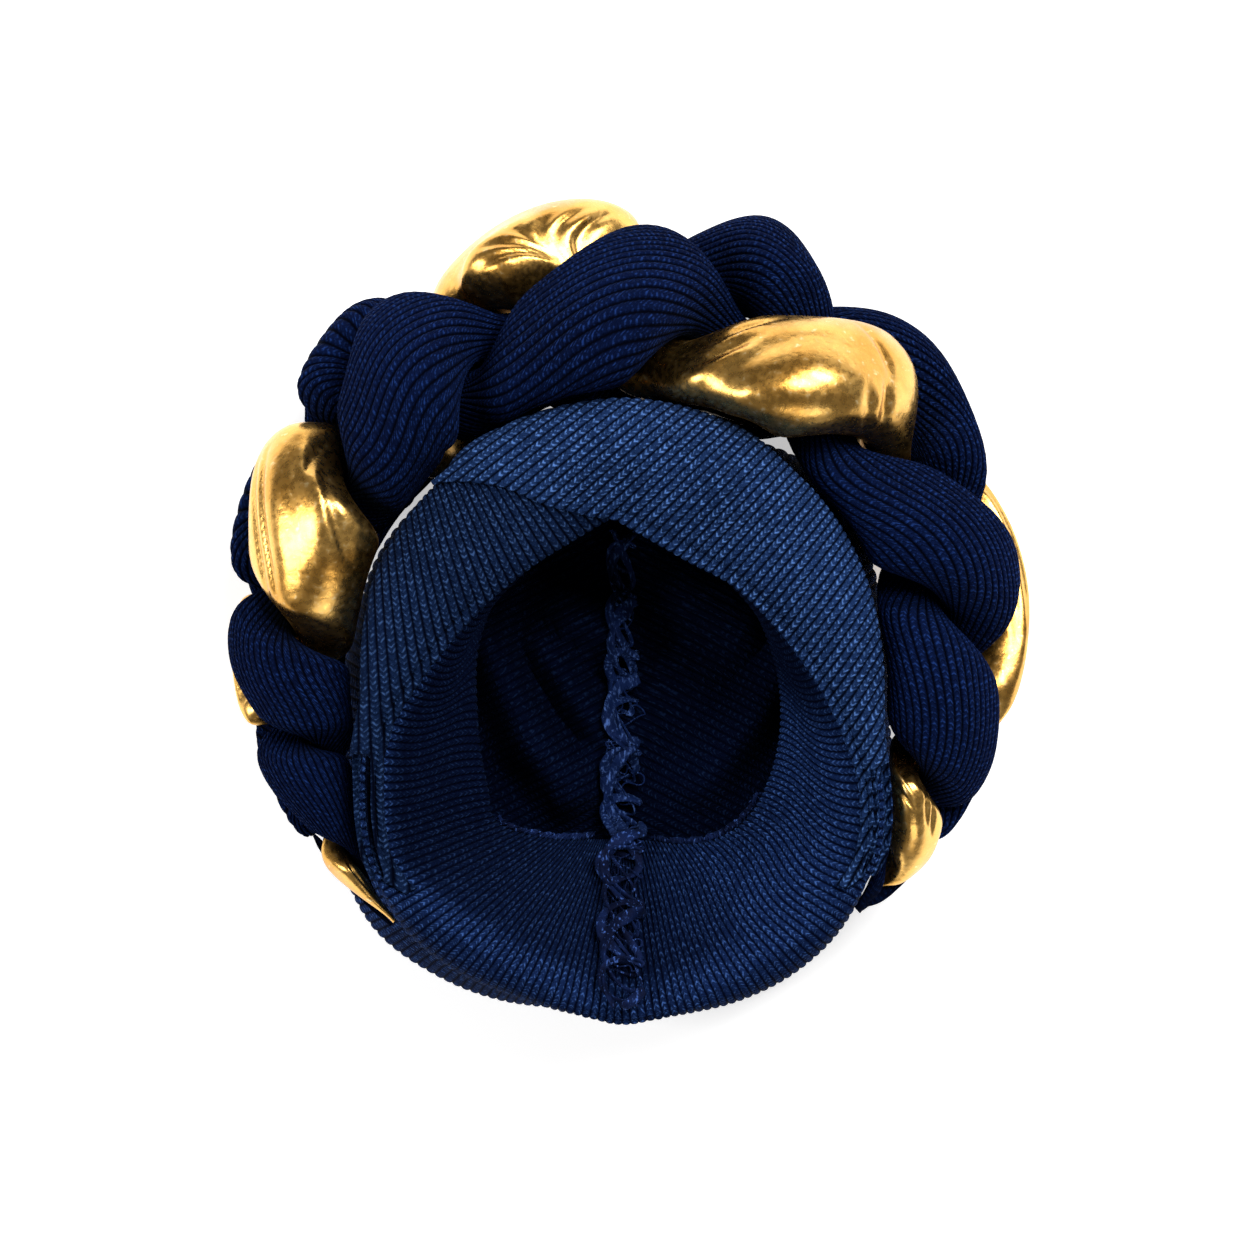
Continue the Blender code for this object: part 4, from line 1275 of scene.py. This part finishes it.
def place_camera():
    """Camera straight above the opening, framed as the photograph is."""
    data = bpy.data.cameras.new("camera")
    data.sensor_width = SENSOR_WIDTH
    data.lens = SENSOR_WIDTH * VIEW_DISTANCE / VIEW_WIDTH
    data.clip_start = 0.05
    camera = bpy.data.objects.new("camera", data)
    camera.location = (*VIEW_PLACE, VIEW_HEIGHT + VIEW_DISTANCE)
    bpy.context.collection.objects.link(camera)
    bpy.context.scene.camera = camera


def softbox(name, place, size, power):
    """A soft lamp that points at the turban's middle."""
    data = bpy.data.lights.new(name, "AREA")
    data.shape = "RECTANGLE"
    data.size = size[0]
    data.size_y = size[1]
    data.energy = power
    lamp = bpy.data.objects.new(name, data)
    lamp.location = place
    aim = Vector(LAMP_TARGET) - Vector(place)
    lamp.rotation_euler = aim.to_track_quat("-Z", "Y").to_euler()
    bpy.context.collection.objects.link(lamp)


def light_scene():
    scene = bpy.context.scene
    scene.view_settings.view_transform = "Standard"
    world = bpy.data.worlds.new("studio")
    world.use_nodes = True
    sky = world.node_tree.nodes["Background"]
    set_inputs(sky, {"Color": WORLD_COLOUR, "Strength": WORLD_STRENGTH})
    scene.world = world
    for name, (place, size, power) in LAMPS.items():
        softbox(name, place, size, power)


def lay_floor():
    """Plain pale floor with the faintest unevenness and a light of its own."""
    made, tree, shader = new_look("pale_floor")
    tone = noise(tree, 6.0, 2.0)
    tree.links.new(blend_colour(tree, tone, *FLOOR_COLOURS), shader.inputs["Base Color"])
    set_inputs(shader, {"Roughness": 0.9, "Specular IOR Level": 0.1,
                        "Emission Color": (1.0, 1.0, 1.0, 1.0), "Emission Strength": FLOOR_GLOW})
    mesh = bpy.data.meshes.new("floor")
    corners = [(x * FLOOR_REACH, y * FLOOR_REACH, 0) for x, y in ((-1, -1), (1, -1), (1, 1), (-1, 1))]
    mesh.from_pydata(corners, [], [(0, 1, 2, 3)])
    mesh.materials.append(made)
    floor = bpy.data.objects.new("floor", mesh)
    floor.location.z = -FLOOR_DROP
    bpy.context.collection.objects.link(floor)


def stand_for(piece, node):
    """Put a soft piece in the place of its solid, with the turban's one body."""
    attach(piece, "root")
    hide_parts(node)


def dress_bands():
    look = knit_look("navy_band_knit", *BAND_COLOURS)
    right = build_band("front_wrap_right_knit", RIGHT_BAND, True, RIGHT_GRID, RIGHT_FAN, 0.0, look)
    stand_for(right, "front_wrap_right")
    left = build_band("front_wrap_left_knit", LEFT_BAND, False, LEFT_GRID, LEFT_FAN, LEFT_SHADE, look)
    stand_for(left, "front_wrap_left")


def dress_plait():
    """The foil-faced strand and the two of knit."""
    look = knit_look("navy_strand_knit", *STRAND_COLOURS)
    foil = foil_look("gold_foil_cloth")
    gold = build_strand("braid_strand_gold_cloth", 0, FOIL_SLICES, 0, FOIL_SIDES, foil)
    stand_for(gold, "braid_strand_gold")
    for node, strand in (("braid_strand_navy_b", 1), ("braid_strand_navy_a", 2)):
        made = build_strand(node + "_cloth", strand, STRAND_SLICES, STRAND_RIBS, STRAND_SAMPLES, look)
        stand_for(made, node)


def dress_seams(cap):
    thread = thread_look("navy_overlock_thread")
    stand_for(build_back_seam(cap, thread), "back_seam")
    for node, (first, last, turn_back) in HEM_SEAMS.items():
        seam = build_hem_seam(node + "_curl", first, last, turn_back, thread)
        stand_for(seam, node)


def main():
    cap = build_cap(knit_look("navy_rib_knit", *CAP_COLOURS))
    stand_for(cap, "cap")
    dress_bands()
    dress_plait()
    dress_seams(cap)
    lay_floor()
    light_scene()
    place_camera()


main()
